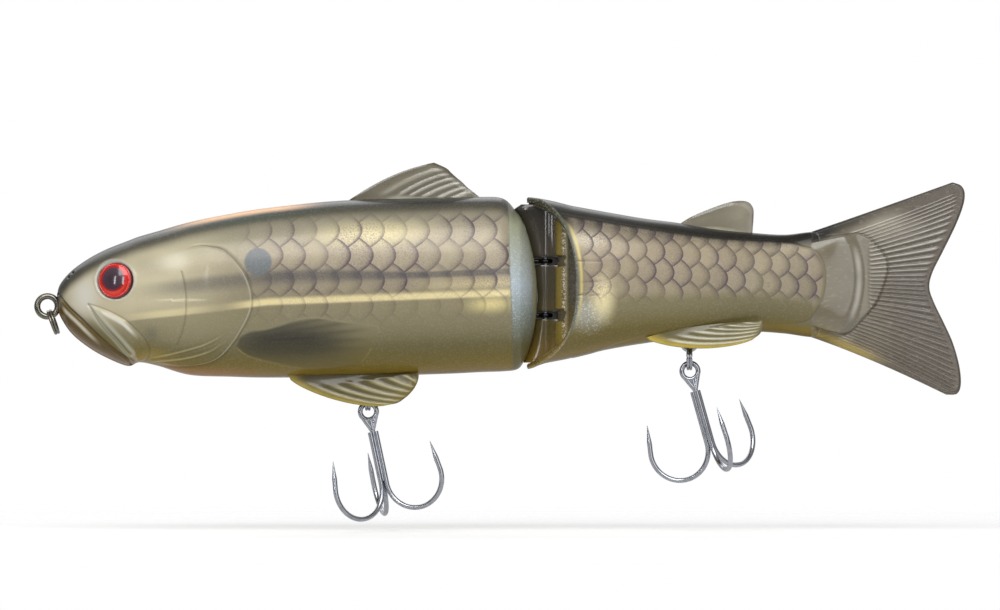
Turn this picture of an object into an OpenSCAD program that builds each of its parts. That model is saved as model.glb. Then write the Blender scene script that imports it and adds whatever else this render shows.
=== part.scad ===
// A two-piece glide swimbait: two hollow body sections on a vertical hinge pin, with split rings,
// treble hooks and a soft tail. The origin is the centre of the line tie's eye at the nose.
// +X runs from nose to tail, +Z is up, and the left side of the fish faces -Y.

/* [Body] */
// Distance from the line tie's centre back to the nose
nose_gap = 2.6; // [2.4:0.1:3.0]
// Length of the front section, from the nose to the top of its domed end
front_len = 133; // [125:1:142]
// Height of the body at its deepest
body_h = 49.8; // [47:0.2:53]
// Width of the body at its widest
body_w = 36; // [33:0.5:39]
// Height of the body's middle above the line tie
body_z = 5.4; // [4.8:0.1:6]
// Wall of the moulded halves
wall = 1.8; // [1.5:0.1:2.1]
// Squareness of the body's oval section, where 2 is an ellipse
squareness = 2.35; // [2:0.05:2.6]
// Length of the rear section, from the hinge pin to the tail joint
rear_len = 73.5; // [68:0.5:80]
// Length of the tongue that carries the tail
tongue_len = 21; // [17:0.5:22]
// Relief height of the gill cover and of the pectoral fin
relief = 0.5; // [0.3:0.05:0.8]

/* [Hinge] */
// Distance of the hinge pin behind the domed end
hinge_gap = 2.3; // [2.2:0.1:2.8]
// Diameter of the hinge pin
pin_d = 1.5; // [1.3:0.1:1.7]
// Length of the hinge pin
pin_len = 27; // [24:0.5:30]
// Wire of the hinge eyes
hinge_wire = 1.2; // [1:0.1:1.3]
// Radial clearance between an eye and the pin
pin_fit = 0.08; // [0.06:0.01:0.1]
// Height of the upper hinge eye
eye_up_z = 12.5; // [11:0.5:14]
// Height of the lower hinge eye
eye_low_z = -2.5; // [-4:0.5:-1]
// Length of a hinge eye's shank inside the dome
hinge_shank = 11; // [8:0.5:13]
// Height of the slots that the hinge eyes enter
slot_h = 3.2; // [2.6:0.1:3.6]
// How far the cup's lip reaches ahead of the pin
lip_reach = 5.2; // [4.6:0.1:5.4]
// How far the cup's rim lies behind the pin at the sides
rim_back = 8.4; // [7.6:0.2:9.4]

/* [Hardware] */
// Wire of the line tie
tie_wire = 1.75; // [1.5:0.05:2]
// Hole radius of the line tie's eye
tie_hole = 1.95; // [1.85:0.05:2.2]
// Length of the line tie's shank
tie_shank = 13; // [10:0.5:14]
// Wire of the hook hangers
hanger_wire = 1.3; // [1.1:0.1:1.4]
// Hole radius of a hook hanger's eye
hanger_hole = 1.25; // [1.2:0.05:1.4]
// Depth of a hook hanger inside the body
hanger_depth = 6; // [5:0.5:7]
// Distance of the front hanger behind the line tie
front_hanger_x = 88.7; // [84:0.5:92]
// Distance of the rear hanger behind the hinge pin
rear_hanger_back = 39.8; // [37:0.5:43]
// Wire of the split rings
ring_wire = 0.84; // [0.7:0.02:0.9]
// Middle radius of the split rings
ring_r = 3.2; // [3:0.1:3.5]
// Clearance where one ring hangs in the next
link_gap = 0.1; // [0.08:0.01:0.15]

/* [Treble hooks] */
// Wire of the hooks
hook_wire = 1.4; // [1.2:0.05:1.5]
// Middle radius of a hook's eye
hook_eye_r = 2.25; // [2.1:0.05:2.4]
// Bend radius of a hook's prong
bend_r = 8.2; // [7.4:0.1:8.6]
// Length of a hook from its eye to the middle of the bend
hook_len = 20.5; // [19:0.5:22]
// Length of a prong from the bend to its point
point_len = 8; // [7:0.5:9]
// Lean of the points towards the shank
point_lean = 9; // [4:1:12]

/* [Pieces inside and on the body] */
// Diameter of the fish eyes
eye_d = 10; // [9:0.2:10.6]
// Thickness of the reflective foils
foil_t = 0.4; // [0.3:0.05:0.5]
// Clearance between the foils and the wall
foil_gap = 0.3; // [0.2:0.05:0.4]
// Diameter of the front ballast weight
front_ballast_d = 10; // [8:0.5:11]
// Length of the front ballast weight
front_ballast_len = 34; // [28:1:38]
// Diameter of the rear ballast weight
rear_ballast_d = 6; // [5:0.5:6.5]
// Length of the rear ballast weight
rear_ballast_len = 14; // [10:1:16]
// Clearance of pieces that are held between the halves
seat_gap = 0.05; // [0.04:0.01:0.08]

/* [Fins] */
// Length of the dorsal fin at its base
dorsal_len = 36; // [32:1:39]
// Height of the dorsal fin above the back
dorsal_h = 10.4; // [9:0.2:12]
// Thickness of the fins at their edge
fin_t = 1.2; // [1:0.1:1.6]
// Height of the adipose fin above the back
adipose_h = 7.6; // [6:0.2:9]
// Depth of the pelvic fins below their base
pelvic_h = 7; // [6:0.2:8]
// Depth of the anal fins below their base
anal_h = 6.6; // [5.6:0.2:7.2]
// Length of the tail behind the tail joint
tail_len = 42.5; // [40:0.5:46]
// Height of the tail from tip to tip
tail_h = 58.8; // [54:0.2:63]
// Number of rays in the tail
tail_rays = 30; // [24:1:34]

/* [Hidden] */
$fn = 32;
half_h = body_h / 2;
half_w = body_w / 2;
dome_x = nose_gap + front_len;
hinge_x = dome_x + hinge_gap;
tail_x = hinge_x + rear_len;
rear_hanger_x = hinge_x + rear_hanger_back;

// Section rows of the front: [place along the length, top, bottom, width, level of the widest
// line]. Heights are shares of half the body's height, and widths of half its width.
FRONT = [
    [0.000, -0.09, -0.21, 0.05, -0.15],
    [0.007, 0.03, -0.33, 0.18, -0.15],
    [0.029, 0.17, -0.51, 0.37, -0.14],
    [0.062, 0.30, -0.66, 0.53, -0.12],
    [0.100, 0.41, -0.78, 0.66, -0.10],
    [0.147, 0.51, -0.88, 0.78, -0.07],
    [0.172, 0.56, -0.84, 0.82, -0.06],
    [0.211, 0.62, -0.88, 0.87, -0.04],
    [0.277, 0.72, -0.98, 0.94, 0.00],
    [0.360, 0.81, -1.00, 0.98, 0.00],
    [0.444, 0.88, -1.01, 1.00, 0.00],
    [0.597, 0.96, -1.00, 1.00, 0.00],
    [0.798, 0.99, -0.97, 0.98, 0.00],
    [0.879, 1.00, -0.95, 0.97, 0.00],
    [0.929, 0.98, -0.94, 0.93, -0.02],
    [0.957, 0.83, -0.92, 0.85, -0.05],
    [0.970, 0.72, -0.85, 0.77, -0.07],
    [0.985, 0.49, -0.67, 0.58, -0.09],
    [0.996, 0.20, -0.40, 0.32, -0.10],
    [1.000, -0.05, -0.17, 0.04, -0.11],
];
// The same for the rear section, whose places run from the hinge pin to the tail joint
REAR = [
    [-0.08, 1.00, -0.92, 0.95, 0.00],
    [0.00, 0.97, -0.85, 0.93, 0.00],
    [0.10, 0.90, -0.79, 0.89, 0.00],
    [0.23, 0.83, -0.70, 0.82, 0.02],
    [0.37, 0.76, -0.63, 0.73, 0.03],
    [0.50, 0.71, -0.58, 0.62, 0.03],
    [0.64, 0.64, -0.53, 0.51, 0.03],
    [0.78, 0.60, -0.50, 0.40, 0.03],
    [0.90, 0.58, -0.52, 0.31, 0.02],
    [1.00, 0.61, -0.56, 0.23, 0.02],
];
// Edge of the tail from its lower to its upper tip: [share of the length, share of half the
// height, measured from the middle of the fork]
TAIL_EDGE = [
    [0.88, -1.00], [0.95, -0.99], [0.975, -0.90], [0.965, -0.73], [0.925, -0.52], [0.87, -0.34],
    [0.80, -0.13], [0.77, 0.01], [0.79, 0.15], [0.855, 0.34], [0.94, 0.59], [0.99, 0.78],
    [1.00, 0.90], [0.975, 0.97], [0.92, 1.00],
];

function mix(a, b, t) = a + (b - a) * t;
function clamp(v, low, high) = min(max(v, low), high);
// A smooth curve through the rows of a table, at t rows from its start
function spline(rows, t) =
    let (
        last = len(rows) - 1,
        i = min(floor(t), last - 1),
        f = t - i,
        a = rows[max(i - 1, 0)],
        b = rows[i],
        c = rows[i + 1],
        d = rows[min(i + 2, last)]
    )
    0.5 * (2 * b + (c - a) * f + (2 * a - 5 * b + 4 * c - d) * f * f
        + (3 * b - a - 3 * c + d) * f * f * f);
// How many rows from the start the place u lies
function row_at(rows, u, low = 0) =
    low >= len(rows) - 2 || rows[low + 1][0] > u
        ? low + (u - rows[low][0]) / (rows[low + 1][0] - rows[low][0])
        : row_at(rows, u, low + 1);
function section(rows, u) = spline(rows, clamp(row_at(rows, u), 0, len(rows) - 1));

// A section in millimetres, drawn in by inset: [top, bottom, half width, widest level]
function front_section(x, inset = 0) = sized(section(FRONT, (x - nose_gap) / front_len), inset);
function rear_section(x, inset = 0) = sized(section(REAR, (x - hinge_x) / rear_len), inset);
function sized(row, inset) = [
    body_z + row[1] * half_h - inset,
    body_z + row[2] * half_h + inset,
    row[3] * half_w - inset,
    body_z + row[4] * half_h,
];
// Half width of a section at the height z
function half_width(s, z) =
    let (f = z > s[3] ? (z - s[3]) / (s[0] - s[3]) : (s[3] - z) / (s[3] - s[1]))
    s[2] * pow(max(1 - pow(clamp(f, 0, 1), squareness), 0), 1 / squareness);
// Points of the left half of a section, from the top down, and of the whole section
function half_ring(x, s, n) = [
    for (i = [0:n])
        let (
            a = 90 - 180 * i / n,
            up = pow(abs(sin(a)), 2 / squareness),
            out = abs(i - n / 2) > n / 2 - 0.01 ? 0 : pow(cos(a), 2 / squareness)
        )
        [x, -s[2] * out, s[3] + (a > 0 ? (s[0] - s[3]) * up : (s[1] - s[3]) * up)]
];
function full_ring(x, s, n) =
    let (h = half_ring(x, s, n))
    concat(h, [for (i = [n - 1:-1:1]) [h[i][0], -h[i][1], h[i][2]]]);

// A solid through rings of points, with flat ends
module loft(rings) {
    n = len(rings[0]);
    m = len(rings);
    polyhedron(
        [for (r = rings) each r],
        concat(
            [[for (i = [0:n - 1]) i]],
            [for (k = [0:m - 2], i = [0:n - 1])
                let (a = k * n + i, b = k * n + (i + 1) % n)
                each [[b, a, b + n], [b + n, a, a + n]]],
            [[for (i = [n - 1:-1:0]) (m - 1) * n + i]]
        ),
        convexity = 6
    );
}
// A plate between two grids of points that share their edges' order: front[i][j] and back[i][j]
module plate(front, back) {
    n = len(front);
    m = len(front[0]);
    function at(side, i, j) = side * n * m + i * m + j;
    polyhedron(
        concat([for (r = front) each r], [for (r = back) each r]),
        concat(
            [for (i = [0:n - 2], j = [0:m - 2])
                each [[at(0, i, j), at(0, i + 1, j), at(0, i + 1, j + 1)],
                    [at(0, i, j), at(0, i + 1, j + 1), at(0, i, j + 1)]]],
            [for (i = [0:n - 2], j = [0:m - 2])
                each [[at(1, i, j), at(1, i + 1, j + 1), at(1, i + 1, j)],
                    [at(1, i, j), at(1, i, j + 1), at(1, i + 1, j + 1)]]],
            [for (i = [0:n - 2])
                each [[at(0, i, 0), at(1, i, 0), at(1, i + 1, 0)],
                    [at(0, i, 0), at(1, i + 1, 0), at(0, i + 1, 0)],
                    [at(0, i, m - 1), at(1, i + 1, m - 1), at(1, i, m - 1)],
                    [at(0, i, m - 1), at(0, i + 1, m - 1), at(1, i + 1, m - 1)]]],
            [for (j = [0:m - 2])
                each [[at(0, 0, j), at(0, 0, j + 1), at(1, 0, j + 1)],
                    [at(0, 0, j), at(1, 0, j + 1), at(1, 0, j)],
                    [at(0, n - 1, j), at(1, n - 1, j + 1), at(0, n - 1, j + 1)],
                    [at(0, n - 1, j), at(1, n - 1, j), at(1, n - 1, j + 1)]]]
        ),
        convexity = 6
    );
}
module on_side(side) {
    mirror([0, side == "left" ? 0 : 1, 0]) children();
}
// A ring of round wire about the Y axis
module wire_ring(r, wire) {
    rotate([90, 0, 0]) rotate_extrude($fn = 64) translate([r, 0]) circle(d = wire);
}

// Places and sizes that several pieces share
OUTER_POINTS = 14;
INNER_POINTS = 10;
tie_bend = tie_hole + tie_wire / 2;
tie_button_x = tie_bend + tie_shank - 2 * tie_wire;
hinge_eye_r = pin_d / 2 + pin_fit + hinge_wire / 2;
pin_z = (eye_up_z + eye_low_z - pin_len) / 2;
hanger_eye_r = hanger_hole + hanger_wire / 2;
// Levels of the belly at the hangers, and of the hangers' eyes, which stand half out of it
hanger_out = hanger_hole + hanger_wire - 0.5;
front_floor = front_section(front_hanger_x)[1];
rear_floor = rear_section(rear_hanger_x)[1];
front_eye_z = front_floor - hanger_out;
rear_eye_z = rear_floor - hanger_out + 0.5;
// Depth of the fish eye's socket, and how far its face turns to the nose and up
eye_x = nose_gap + 0.125 * front_len;
eye_z = body_z + 0.07 * half_h;
eye_depth = 2;
eye_toe = 19;
eye_cant = 6;
// How deep a fin's root sinks into the back
back_sink = 1.2;

// Front section
CAVITY_FRONT = 0.19;
CAVITY_REAR = 0.945;
FRONT_STEPS = 15;
// Stations of the front hollow and of the foil in it
function front_station(i) = nose_gap + front_len * mix(CAVITY_FRONT, CAVITY_REAR, i / FRONT_STEPS);
module front_outside() {
    last = len(FRONT) - 1;
    loft([
        for (t = [0:0.5:last])
            let (row = spline(FRONT, t), x = nose_gap + row[0] * front_len)
            half_ring(x, sized(row, 0), OUTER_POINTS)
    ]);
}
module front_cavity(inset) {
    loft([
        for (i = [0:FRONT_STEPS])
            let (x = front_station(i))
            full_ring(x, front_section(x, inset), INNER_POINTS)
    ]);
}
module at_eye(out) {
    s = front_section(eye_x);
    translate([eye_x, -half_width(s, eye_z), eye_z])
        rotate([0, 0, -eye_toe]) rotate([90 - eye_cant, 0, 0]) translate([0, 0, out]) children();
}
// A raised patch on the flank: [along, up] points of its outline about a middle, lifted by h
module flank_patch(outline, mid, h) {
    n = len(outline);
    rings = [0, 0.8, 1];
    lift = [h, h, h / 2];
    function spot(k, i, y) =
        let (p = mid + (outline[i % n] - mid) * rings[k])
        [p[0], -half_width(front_section(p[0]), p[1]) - y, p[1]];
    pts = concat(
        [spot(0, 0, lift[0])],
        [for (k = [1:2], i = [0:n - 1]) spot(k, i, lift[k])],
        [for (i = [0:n - 1]) spot(2, i, -wall / 2)],
        [spot(0, 0, -wall / 2)]
    );
    last = len(pts) - 1;
    polyhedron(pts, concat(
        [for (i = [0:n - 1]) [0, 1 + (i + 1) % n, 1 + i]],
        [for (k = [0:1], i = [0:n - 1])
            let (a = 1 + k * n + i, b = 1 + k * n + (i + 1) % n)
            each [[a, b + n, a + n], [a, b, b + n]]],
        [for (i = [0:n - 1]) [last, 1 + 2 * n + i, 1 + 2 * n + (i + 1) % n]]
    ), convexity = 4);
}
OUTLINE_STEP = 15;
// The gill cover's outline: a wide arc at the rear that narrows towards the cheek
gill_mid = [nose_gap + 0.30 * front_len, body_z - 0.12 * half_h];
gill_outline = [
    for (a = [0:OUTLINE_STEP:360 - OUTLINE_STEP])
        gill_mid + [cos(a) * (cos(a) > 0 ? 0.111 : 0.075) * front_len,
            sin(a) * (sin(a) > 0 ? 0.56 : 0.63) * half_h]
];
// The pectoral fin's outline: a leaf that points to the tail
fin_mid = [nose_gap + 0.47 * front_len, body_z - 0.67 * half_h];
fin_outline = [
    for (a = [0:OUTLINE_STEP:360 - OUTLINE_STEP])
        fin_mid + [cos(a) * 0.15 * front_len, sin(a) * (1 - 0.45 * cos(a)) * 0.2 * half_h]
];
// Half of a fin that stands on the back, with rays as ridges; spots are [x, z] of its outline
module back_fin(base, edge, rays, ridge) {
    n = len(edge) - 1;
    steps = rays * 2;
    grid = [
        for (i = [0:steps])
            let (t = i / steps * n, b = spline(base, t), e = spline(edge, t), crest = i % 2)
            [for (k = [4:-1:0])
                let (p = mix(b, e, k / 4), w = mix(fin_t, fin_t / 2, k / 4) / 2)
                [p[0], -w - (k > 0 && k < 4 ? ridge * crest : 0), p[1]]]
    ];
    plate(grid, [for (r = grid) [for (p = r) [p[0], 0, p[2]]]]);
}
dorsal_x = nose_gap + 0.60 * front_len;
dorsal_base = [
    for (t = [0:0.25:1])
        let (x = dorsal_x + 1 + t * (dorsal_len - 2)) [x, front_section(x)[0] - back_sink]
];
dorsal_edge = [
    for (p = [[0.02, -0.1], [0.36, 0.50], [0.70, 0.99], [0.84, 0.62], [0.99, -0.1]])
        let (x = dorsal_x + p[0] * dorsal_len) [x, front_section(x)[0] + p[1] * dorsal_h]
];
// A fin beside the belly: a curved plate from its base line down and out, with rays as ridges;
// the base line rises by slope
module belly_fin(x0, x1, base_y, base_z, slope, depth, rays, flare) {
    steps = rays * 2;
    function spot(i, k, out) =
        let (
            t = i / steps,
            d = k / 4,
            x = mix(x0, x1, t) + d * 2 * (0.5 - t),
            drop = depth * pow(sin(180 * pow(t, 1.35)), 0.62) * d,
            ridge = k > 0 && k < 4 ? 0.18 * (i % 2) : 0
        )
        [x, -base_y - flare * d - out * (mix(fin_t, fin_t / 2, d) + ridge),
            base_z + slope * t - drop + 0.6 * (1 - d) - 0.4 * d * (i == 0 || i == steps ? 1 : 0)];
    plate(
        [for (i = [0:steps]) [for (k = [0:4]) spot(i, k, 1)]],
        [for (i = [0:steps]) [for (k = [0:4]) spot(i, k, 0)]]
    );
}
pelvic_x = nose_gap + 0.48 * front_len;
pelvic_len = 0.285 * front_len;
pelvic_base = 4.6;
// The slot and the bore that a hook hanger sits in
module hanger_cuts(x, z) {
    translate([x, 0, z]) {
        rotate([90, 0, 0])
            cylinder(r = hanger_hole + hanger_wire + 6 * seat_gap, h = 1.5 * hanger_wire, center = true);
        cylinder(d = hanger_wire + 2 * seat_gap, h = hanger_hole + hanger_wire + hanger_depth + seat_gap);
    }
}
// The line tie's bore, the room of its button and the notch that its eye sits in
module tie_cuts() {
    rotate([90, 0, 0])
        cylinder(r = tie_bend + tie_wire / 2 + 2 * seat_gap, h = tie_wire + 2 * seat_gap, center = true);
    rotate([0, 90, 0]) cylinder(d = tie_wire + 2 * seat_gap, h = tie_shank + tie_bend + seat_gap);
    translate([tie_button_x - seat_gap, 0, 0]) rotate([0, 90, 0])
        cylinder(d = 2 * tie_wire + 2 * seat_gap, h = tie_wire + 2 * seat_gap);
}
module front_shell() {
    difference() {
        union() {
            difference() {
                front_outside();
                front_cavity(wall);
            }
            hanger_boss(front_hanger_x, front_eye_z, front_floor);
            flank_patch(gill_outline, gill_mid, relief);
            flank_patch(fin_outline, fin_mid, relief);
            back_fin(dorsal_base, dorsal_edge, 8, 0.2);
            belly_fin(
                pelvic_x, pelvic_x + pelvic_len, pelvic_base, body_z - 0.985 * half_h,
                slope = 0.8, depth = pelvic_h, rays = 8, flare = 1.8
            );
        }
        at_eye(-eye_depth) cylinder(d = eye_d + 4 * seat_gap, h = 2 * eye_depth, $fn = 48);
        tie_cuts();
        for (z = [eye_low_z, eye_up_z])
            translate([hinge_x - hinge_eye_r - hinge_shank - seat_gap, 0, z])
                rotate([0, 90, 0]) cylinder(d = hinge_wire + 2 * seat_gap, h = hinge_shank + hinge_gap);
        hanger_cuts(front_hanger_x, front_eye_z);
    }
}
// Half of the post inside the belly that grips a hanger's stem
module hanger_boss(x, z, floor_z) {
    intersection() {
        translate([x, 0, floor_z + wall / 2])
            cylinder(d = 3 * hanger_wire + 1, h = z + hanger_out + hanger_depth - floor_z);
        translate([x - half_w, -half_w, floor_z]) cube([body_w, half_w, body_h]);
    }
}
module front_shell_left() {
    color([0.55, 0.52, 0.4]) on_side("left") front_shell();
}
module front_shell_right() {
    color([0.5, 0.47, 0.36]) on_side("right") front_shell();
}

// Rear section
TONGUE_H = 0.80;
tongue_half = 1.5;
tail_mid = mix(rear_section(tail_x)[0], rear_section(tail_x)[1], 0.5);
tail_root = (rear_section(tail_x)[0] - rear_section(tail_x)[1]) / 2;
module rear_outside() {
    lip = -lip_reach - 0.3;
    steps = 22;
    loft([
        for (i = [0:steps])
            let (x = hinge_x + mix(lip, rear_len, i / steps))
            half_ring(x, rear_section(x), OUTER_POINTS)
    ]);
}
// The tongue that the tail is pushed over, as a rounded blade, grown by a clearance
function tongue_section(t, grow) =
    let (h = TONGUE_H * tail_root * sqrt(max(1 - pow(max(t, 0), 4) * 0.8, 0.05)))
    [tail_mid + h + grow, tail_mid - h - grow,
        mix(rear_section(tail_x)[2] - 1.2, tongue_half, clamp(t, 0, 1)) + grow, tail_mid];
module tongue(grow) {
    loft([
        for (t = [-0.1, 0.15, 0.4, 0.6, 0.8, 0.93, 1])
            let (x = tail_x + t * tongue_len + (t == 1 ? grow : 0))
            full_ring(x, tongue_section(t, grow), 8)
    ]);
}
cup_floor = 5.4;
cup_top = rear_section(hinge_x - lip_reach)[0] - 4;
cup_bottom = rear_section(hinge_x - lip_reach)[1] + 2.6;
// The hollow of the cup in front, which the dome swings in
module cup_hollow() {
    mid = (cup_top + cup_bottom) / 2;
    tall = (cup_top - cup_bottom) / 2;
    start = -lip_reach - 1;
    loft([
        for (i = [0:8])
            let (
                a = 78 * i / 8,
                x = mix(start, cup_floor, sin(a) / sin(78)),
                k = pow(cos(a * 0.93), 0.5)
            )
            full_ring(
                hinge_x + x, [mid + tall * k, mid - tall * k, (half_w - 1.6) * pow(k, 0.4), mid],
                INNER_POINTS
            )
    ]);
}
// The rim is cut back at both sides, nearly straight in plan
module rim_cut() {
    wide = half_w + 2;
    bow = 1.05;
    curve = [
        for (i = [0:6])
            let (y = wide * i / 6)
            [mix(-lip_reach, rim_back, pow(y / (half_w - 2), bow)), -y]
    ];
    translate([hinge_x, 0, body_z - body_h])
        linear_extrude(2 * body_h)
            polygon(concat([[-lip_reach - 5, 0]], curve, [[-lip_reach - 5, -wide]]));
}
boss_r = pin_d / 2 + 1;
// The web that stands in the cup and holds the pin
module hinge_web() {
    root = cup_floor + 1.5;
    translate([hinge_x, 0, cup_bottom + 0.7])
        linear_extrude(cup_top - cup_bottom + 0.3)
            intersection() {
                union() {
                    circle(r = boss_r);
                    polygon([[0, -boss_r], [root, -boss_r - 2], [root, 0], [0, 0]]);
                }
                translate([-root, -root]) square([2 * root, root]);
            }
}
// Wall between the cup and the hollow behind it, and the solid end before the tail
rear_bulkhead = 8;
REAR_END = 4;
REAR_STEPS = 12;
function rear_station(i) = hinge_x + mix(rear_bulkhead, rear_len - REAR_END, i / REAR_STEPS);
module rear_cavity(inset) {
    loft([
        for (i = [0:REAR_STEPS])
            let (x = rear_station(i))
            full_ring(x, rear_section(x, inset), INNER_POINTS)
    ]);
}
adipose_x = hinge_x + 37.3;
adipose_len = 19.8;
adipose_base = [
    for (t = [0:0.25:1])
        let (x = adipose_x + 1 + t * (adipose_len - 2)) [x, rear_section(x)[0] - back_sink]
];
adipose_edge = [
    for (p = [[0.0, -0.1], [0.30, 0.45], [0.70, 0.95], [1.0, 0.95], [0.985, -0.1]])
        let (x = adipose_x + p[0] * adipose_len) [x, rear_section(x)[0] + p[1] * adipose_h]
];
anal_x = hinge_x + 27.6;
anal_len = 32;
// How far the hinge eyes' slots reach ahead of the pin and to the side
slot_reach = 6;
slot_deep = 9;
module rear_shell() {
    difference() {
        union() {
            difference() {
                union() {
                    rear_outside();
                    belly_fin(
                        anal_x, anal_x + anal_len, 6.6, rear_floor + 3.6,
                        slope = 3.4, depth = anal_h, rays = 8, flare = 1
                    );
                }
                rear_cavity(wall);
                cup_hollow();
                rim_cut();
            }
            intersection() {
                tongue(0);
                translate([hinge_x, -half_w, tail_mid - half_h]) cube([2 * rear_len, half_w, body_h]);
            }
            hinge_web();
            hanger_boss(rear_hanger_x, rear_eye_z, rear_floor);
            back_fin(adipose_base, adipose_edge, 3, 0);
        }
        for (z = [eye_low_z, eye_up_z])
            translate([hinge_x - slot_reach, -slot_deep, z - slot_h / 2])
                cube([slot_reach + cup_floor, slot_deep + 1, slot_h]);
        translate([hinge_x, 0, pin_z - seat_gap])
            cylinder(d = pin_d + 2 * pin_fit, h = pin_len + 2 * seat_gap);
        hanger_cuts(rear_hanger_x, rear_eye_z);
    }
}
module rear_shell_left() {
    color([0.6, 0.57, 0.45]) on_side("left") rear_shell();
}
module rear_shell_right() {
    color([0.55, 0.52, 0.4]) on_side("right") rear_shell();
}

// The soft tail, a forked fan of rays over the tongue
module tail_fan() {
    last = len(TAIL_EDGE) - 1;
    columns = tail_rays * 2;
    rows = 10;
    w_root = rear_section(tail_x)[2];
    sleeve_h = TONGUE_H * tail_root + 4;
    sleeve_len = tongue_len + 2.2;
    // How far behind the joint the rays bend outwards, and how far they have spread there
    bend_x = 0.38 * tail_len;
    bend_h = tail_root + 5.5;
    // Half thickness of the sleeve that wraps the tongue, at u along it and z from its middle
    function sleeve(u, z) =
        let (
            start = clamp(3 * u, 0, 1),
            tall = mix(tail_root, sleeve_h, start) * sqrt(max(1 - 0.6 * pow(u, 4), 0.01)),
            f = clamp(abs(z) / tall, 0, 1),
            oval = pow(1 - pow(f, squareness), 1 / squareness)
        )
        u >= 1 ? 0
            : mix(w_root, tongue_half + 1.3, u) * mix(oval, 1 - pow(f, 4), start) * (1 - pow(u, 10));
    function edge(t) =
        let (e = spline(TAIL_EDGE, t * last))
        [tail_x + e[0] * tail_len, tail_mid - 1.1 + e[1] * tail_h / 2];
    function spot(i, k) =
        let (
            t = i / columns,
            s = k / rows,
            v = 2 * t - 1,
            root = [tail_x, tail_mid + v * tail_root],
            bend = [tail_x + bend_x, tail_mid + v * bend_h],
            p = mix(mix(root, bend, s), mix(bend, edge(t), s), s),
            web = mix(0.9, 0.7, s) * (k == rows ? 0.6 : 1) * clamp(12 * (1 - abs(v)) + 0.5, 0, 1),
            thick = max(web, sleeve((p[0] - tail_x) / sleeve_len, p[1] - tail_mid)),
            on_ray = i % 2 == 1 && i > 2 && i < columns - 2 && k < rows,
            ridge = on_ray ? 0.22 * clamp((s - 0.45) / 0.2, 0, 1) : 0
        )
        [p[0], thick + ridge, p[1]];
    grid = [for (i = [0:columns]) [for (k = [0:rows]) spot(i, k)]];
    plate([for (r = grid) [for (p = r) [p[0], -p[1], p[2]]]], grid);
}
tail_grip = 0.1;
module tail_fin() {
    color([0.45, 0.4, 0.36])
        difference() {
            tail_fan();
            tongue(tail_grip);
        }
}

// Reflective foils behind the clear walls, which follow the hollow's own rings of points
FOIL_RIM = 2;
// sections holds [x, section] of each station
module foil(sections) {
    rings = [
        for (s = sections)
            let (h = half_ring(s[0], s[1], INNER_POINTS))
            [for (j = [FOIL_RIM:INNER_POINTS - FOIL_RIM]) h[j]]
    ];
    plate(rings, [for (r = rings) [for (p = r) p + [0, foil_t, 0]]]);
}
module front_foil(side) {
    last = front_station(FRONT_STEPS) - foil_gap;
    color([0.8, 0.72, 0.5]) on_side(side)
        foil([
            for (i = [1:FRONT_STEPS])
                let (x = min(front_station(i), last))
                [x, front_section(x, wall + foil_gap)]
        ]);
}
module front_foil_left() {
    front_foil("left");
}
module front_foil_right() {
    front_foil("right");
}
module rear_foil(side) {
    first = rear_station(0) + foil_gap;
    last = rear_station(REAR_STEPS) - foil_gap;
    color([0.78, 0.7, 0.5]) on_side(side)
        foil([
            for (i = [0:REAR_STEPS])
                let (x = clamp(rear_station(i), first, last))
                [x, rear_section(x, wall + foil_gap)]
        ]);
}
module rear_foil_left() {
    rear_foil("left");
}
module rear_foil_right() {
    rear_foil("right");
}

// Ballast slugs that lie on the belly wall, just clear of its facets
slug_gap = 8 * seat_gap;
module slug(x, floor_z, d, length) {
    translate([x, 0, floor_z + wall + slug_gap + d / 2]) rotate([0, 90, 0]) {
        translate([0, 0, -length / 2 + d / 2]) sphere(d = d);
        translate([0, 0, -length / 2 + d / 2]) cylinder(d = d, h = length - d);
        translate([0, 0, length / 2 - d / 2]) sphere(d = d);
    }
}
front_ballast_x = nose_gap + 0.44 * front_len;
rear_ballast_x = hinge_x + 21;
module front_ballast() {
    color([0.4, 0.41, 0.43])
        slug(front_ballast_x, front_section(front_ballast_x)[1], front_ballast_d, front_ballast_len);
}
module rear_ballast() {
    x_end = rear_ballast_x + (rear_ballast_len - rear_ballast_d) / 2;
    color([0.4, 0.41, 0.43])
        slug(rear_ballast_x, rear_section(x_end)[1], rear_ballast_d, rear_ballast_len);
}

// Fish eyes: a red disc under a clear crown
module fish_eye() {
    crown = 1.1;
    crown_r = (eye_d * eye_d / 4 + crown * crown) / (2 * crown);
    at_eye(0) {
        translate([0, 0, seat_gap - eye_depth]) cylinder(d = eye_d, h = eye_depth, $fn = 64);
        translate([0, 0, seat_gap])
            intersection() {
                translate([0, 0, crown - crown_r]) sphere(r = crown_r, $fn = 64);
                cylinder(d = eye_d, h = crown + 1, $fn = 64);
            }
    }
}
module eye_left() {
    color([0.85, 0.08, 0.08]) on_side("left") fish_eye();
}
module eye_right() {
    color([0.85, 0.08, 0.08]) on_side("right") fish_eye();
}

// Line tie: an eye in the fish's middle plane, with a shank and a button inside the nose
module line_tie() {
    color([0.75, 0.76, 0.78]) {
        wire_ring(tie_bend, tie_wire);
        translate([tie_bend, 0, 0]) rotate([0, 90, 0]) cylinder(d = tie_wire, h = tie_shank);
        translate([tie_button_x, 0, 0]) rotate([0, 90, 0]) cylinder(d = 2 * tie_wire, h = tie_wire);
    }
}
// Distance between a split ring's two coils, as a share of their wire
ring_pitch = 0.9;
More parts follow.
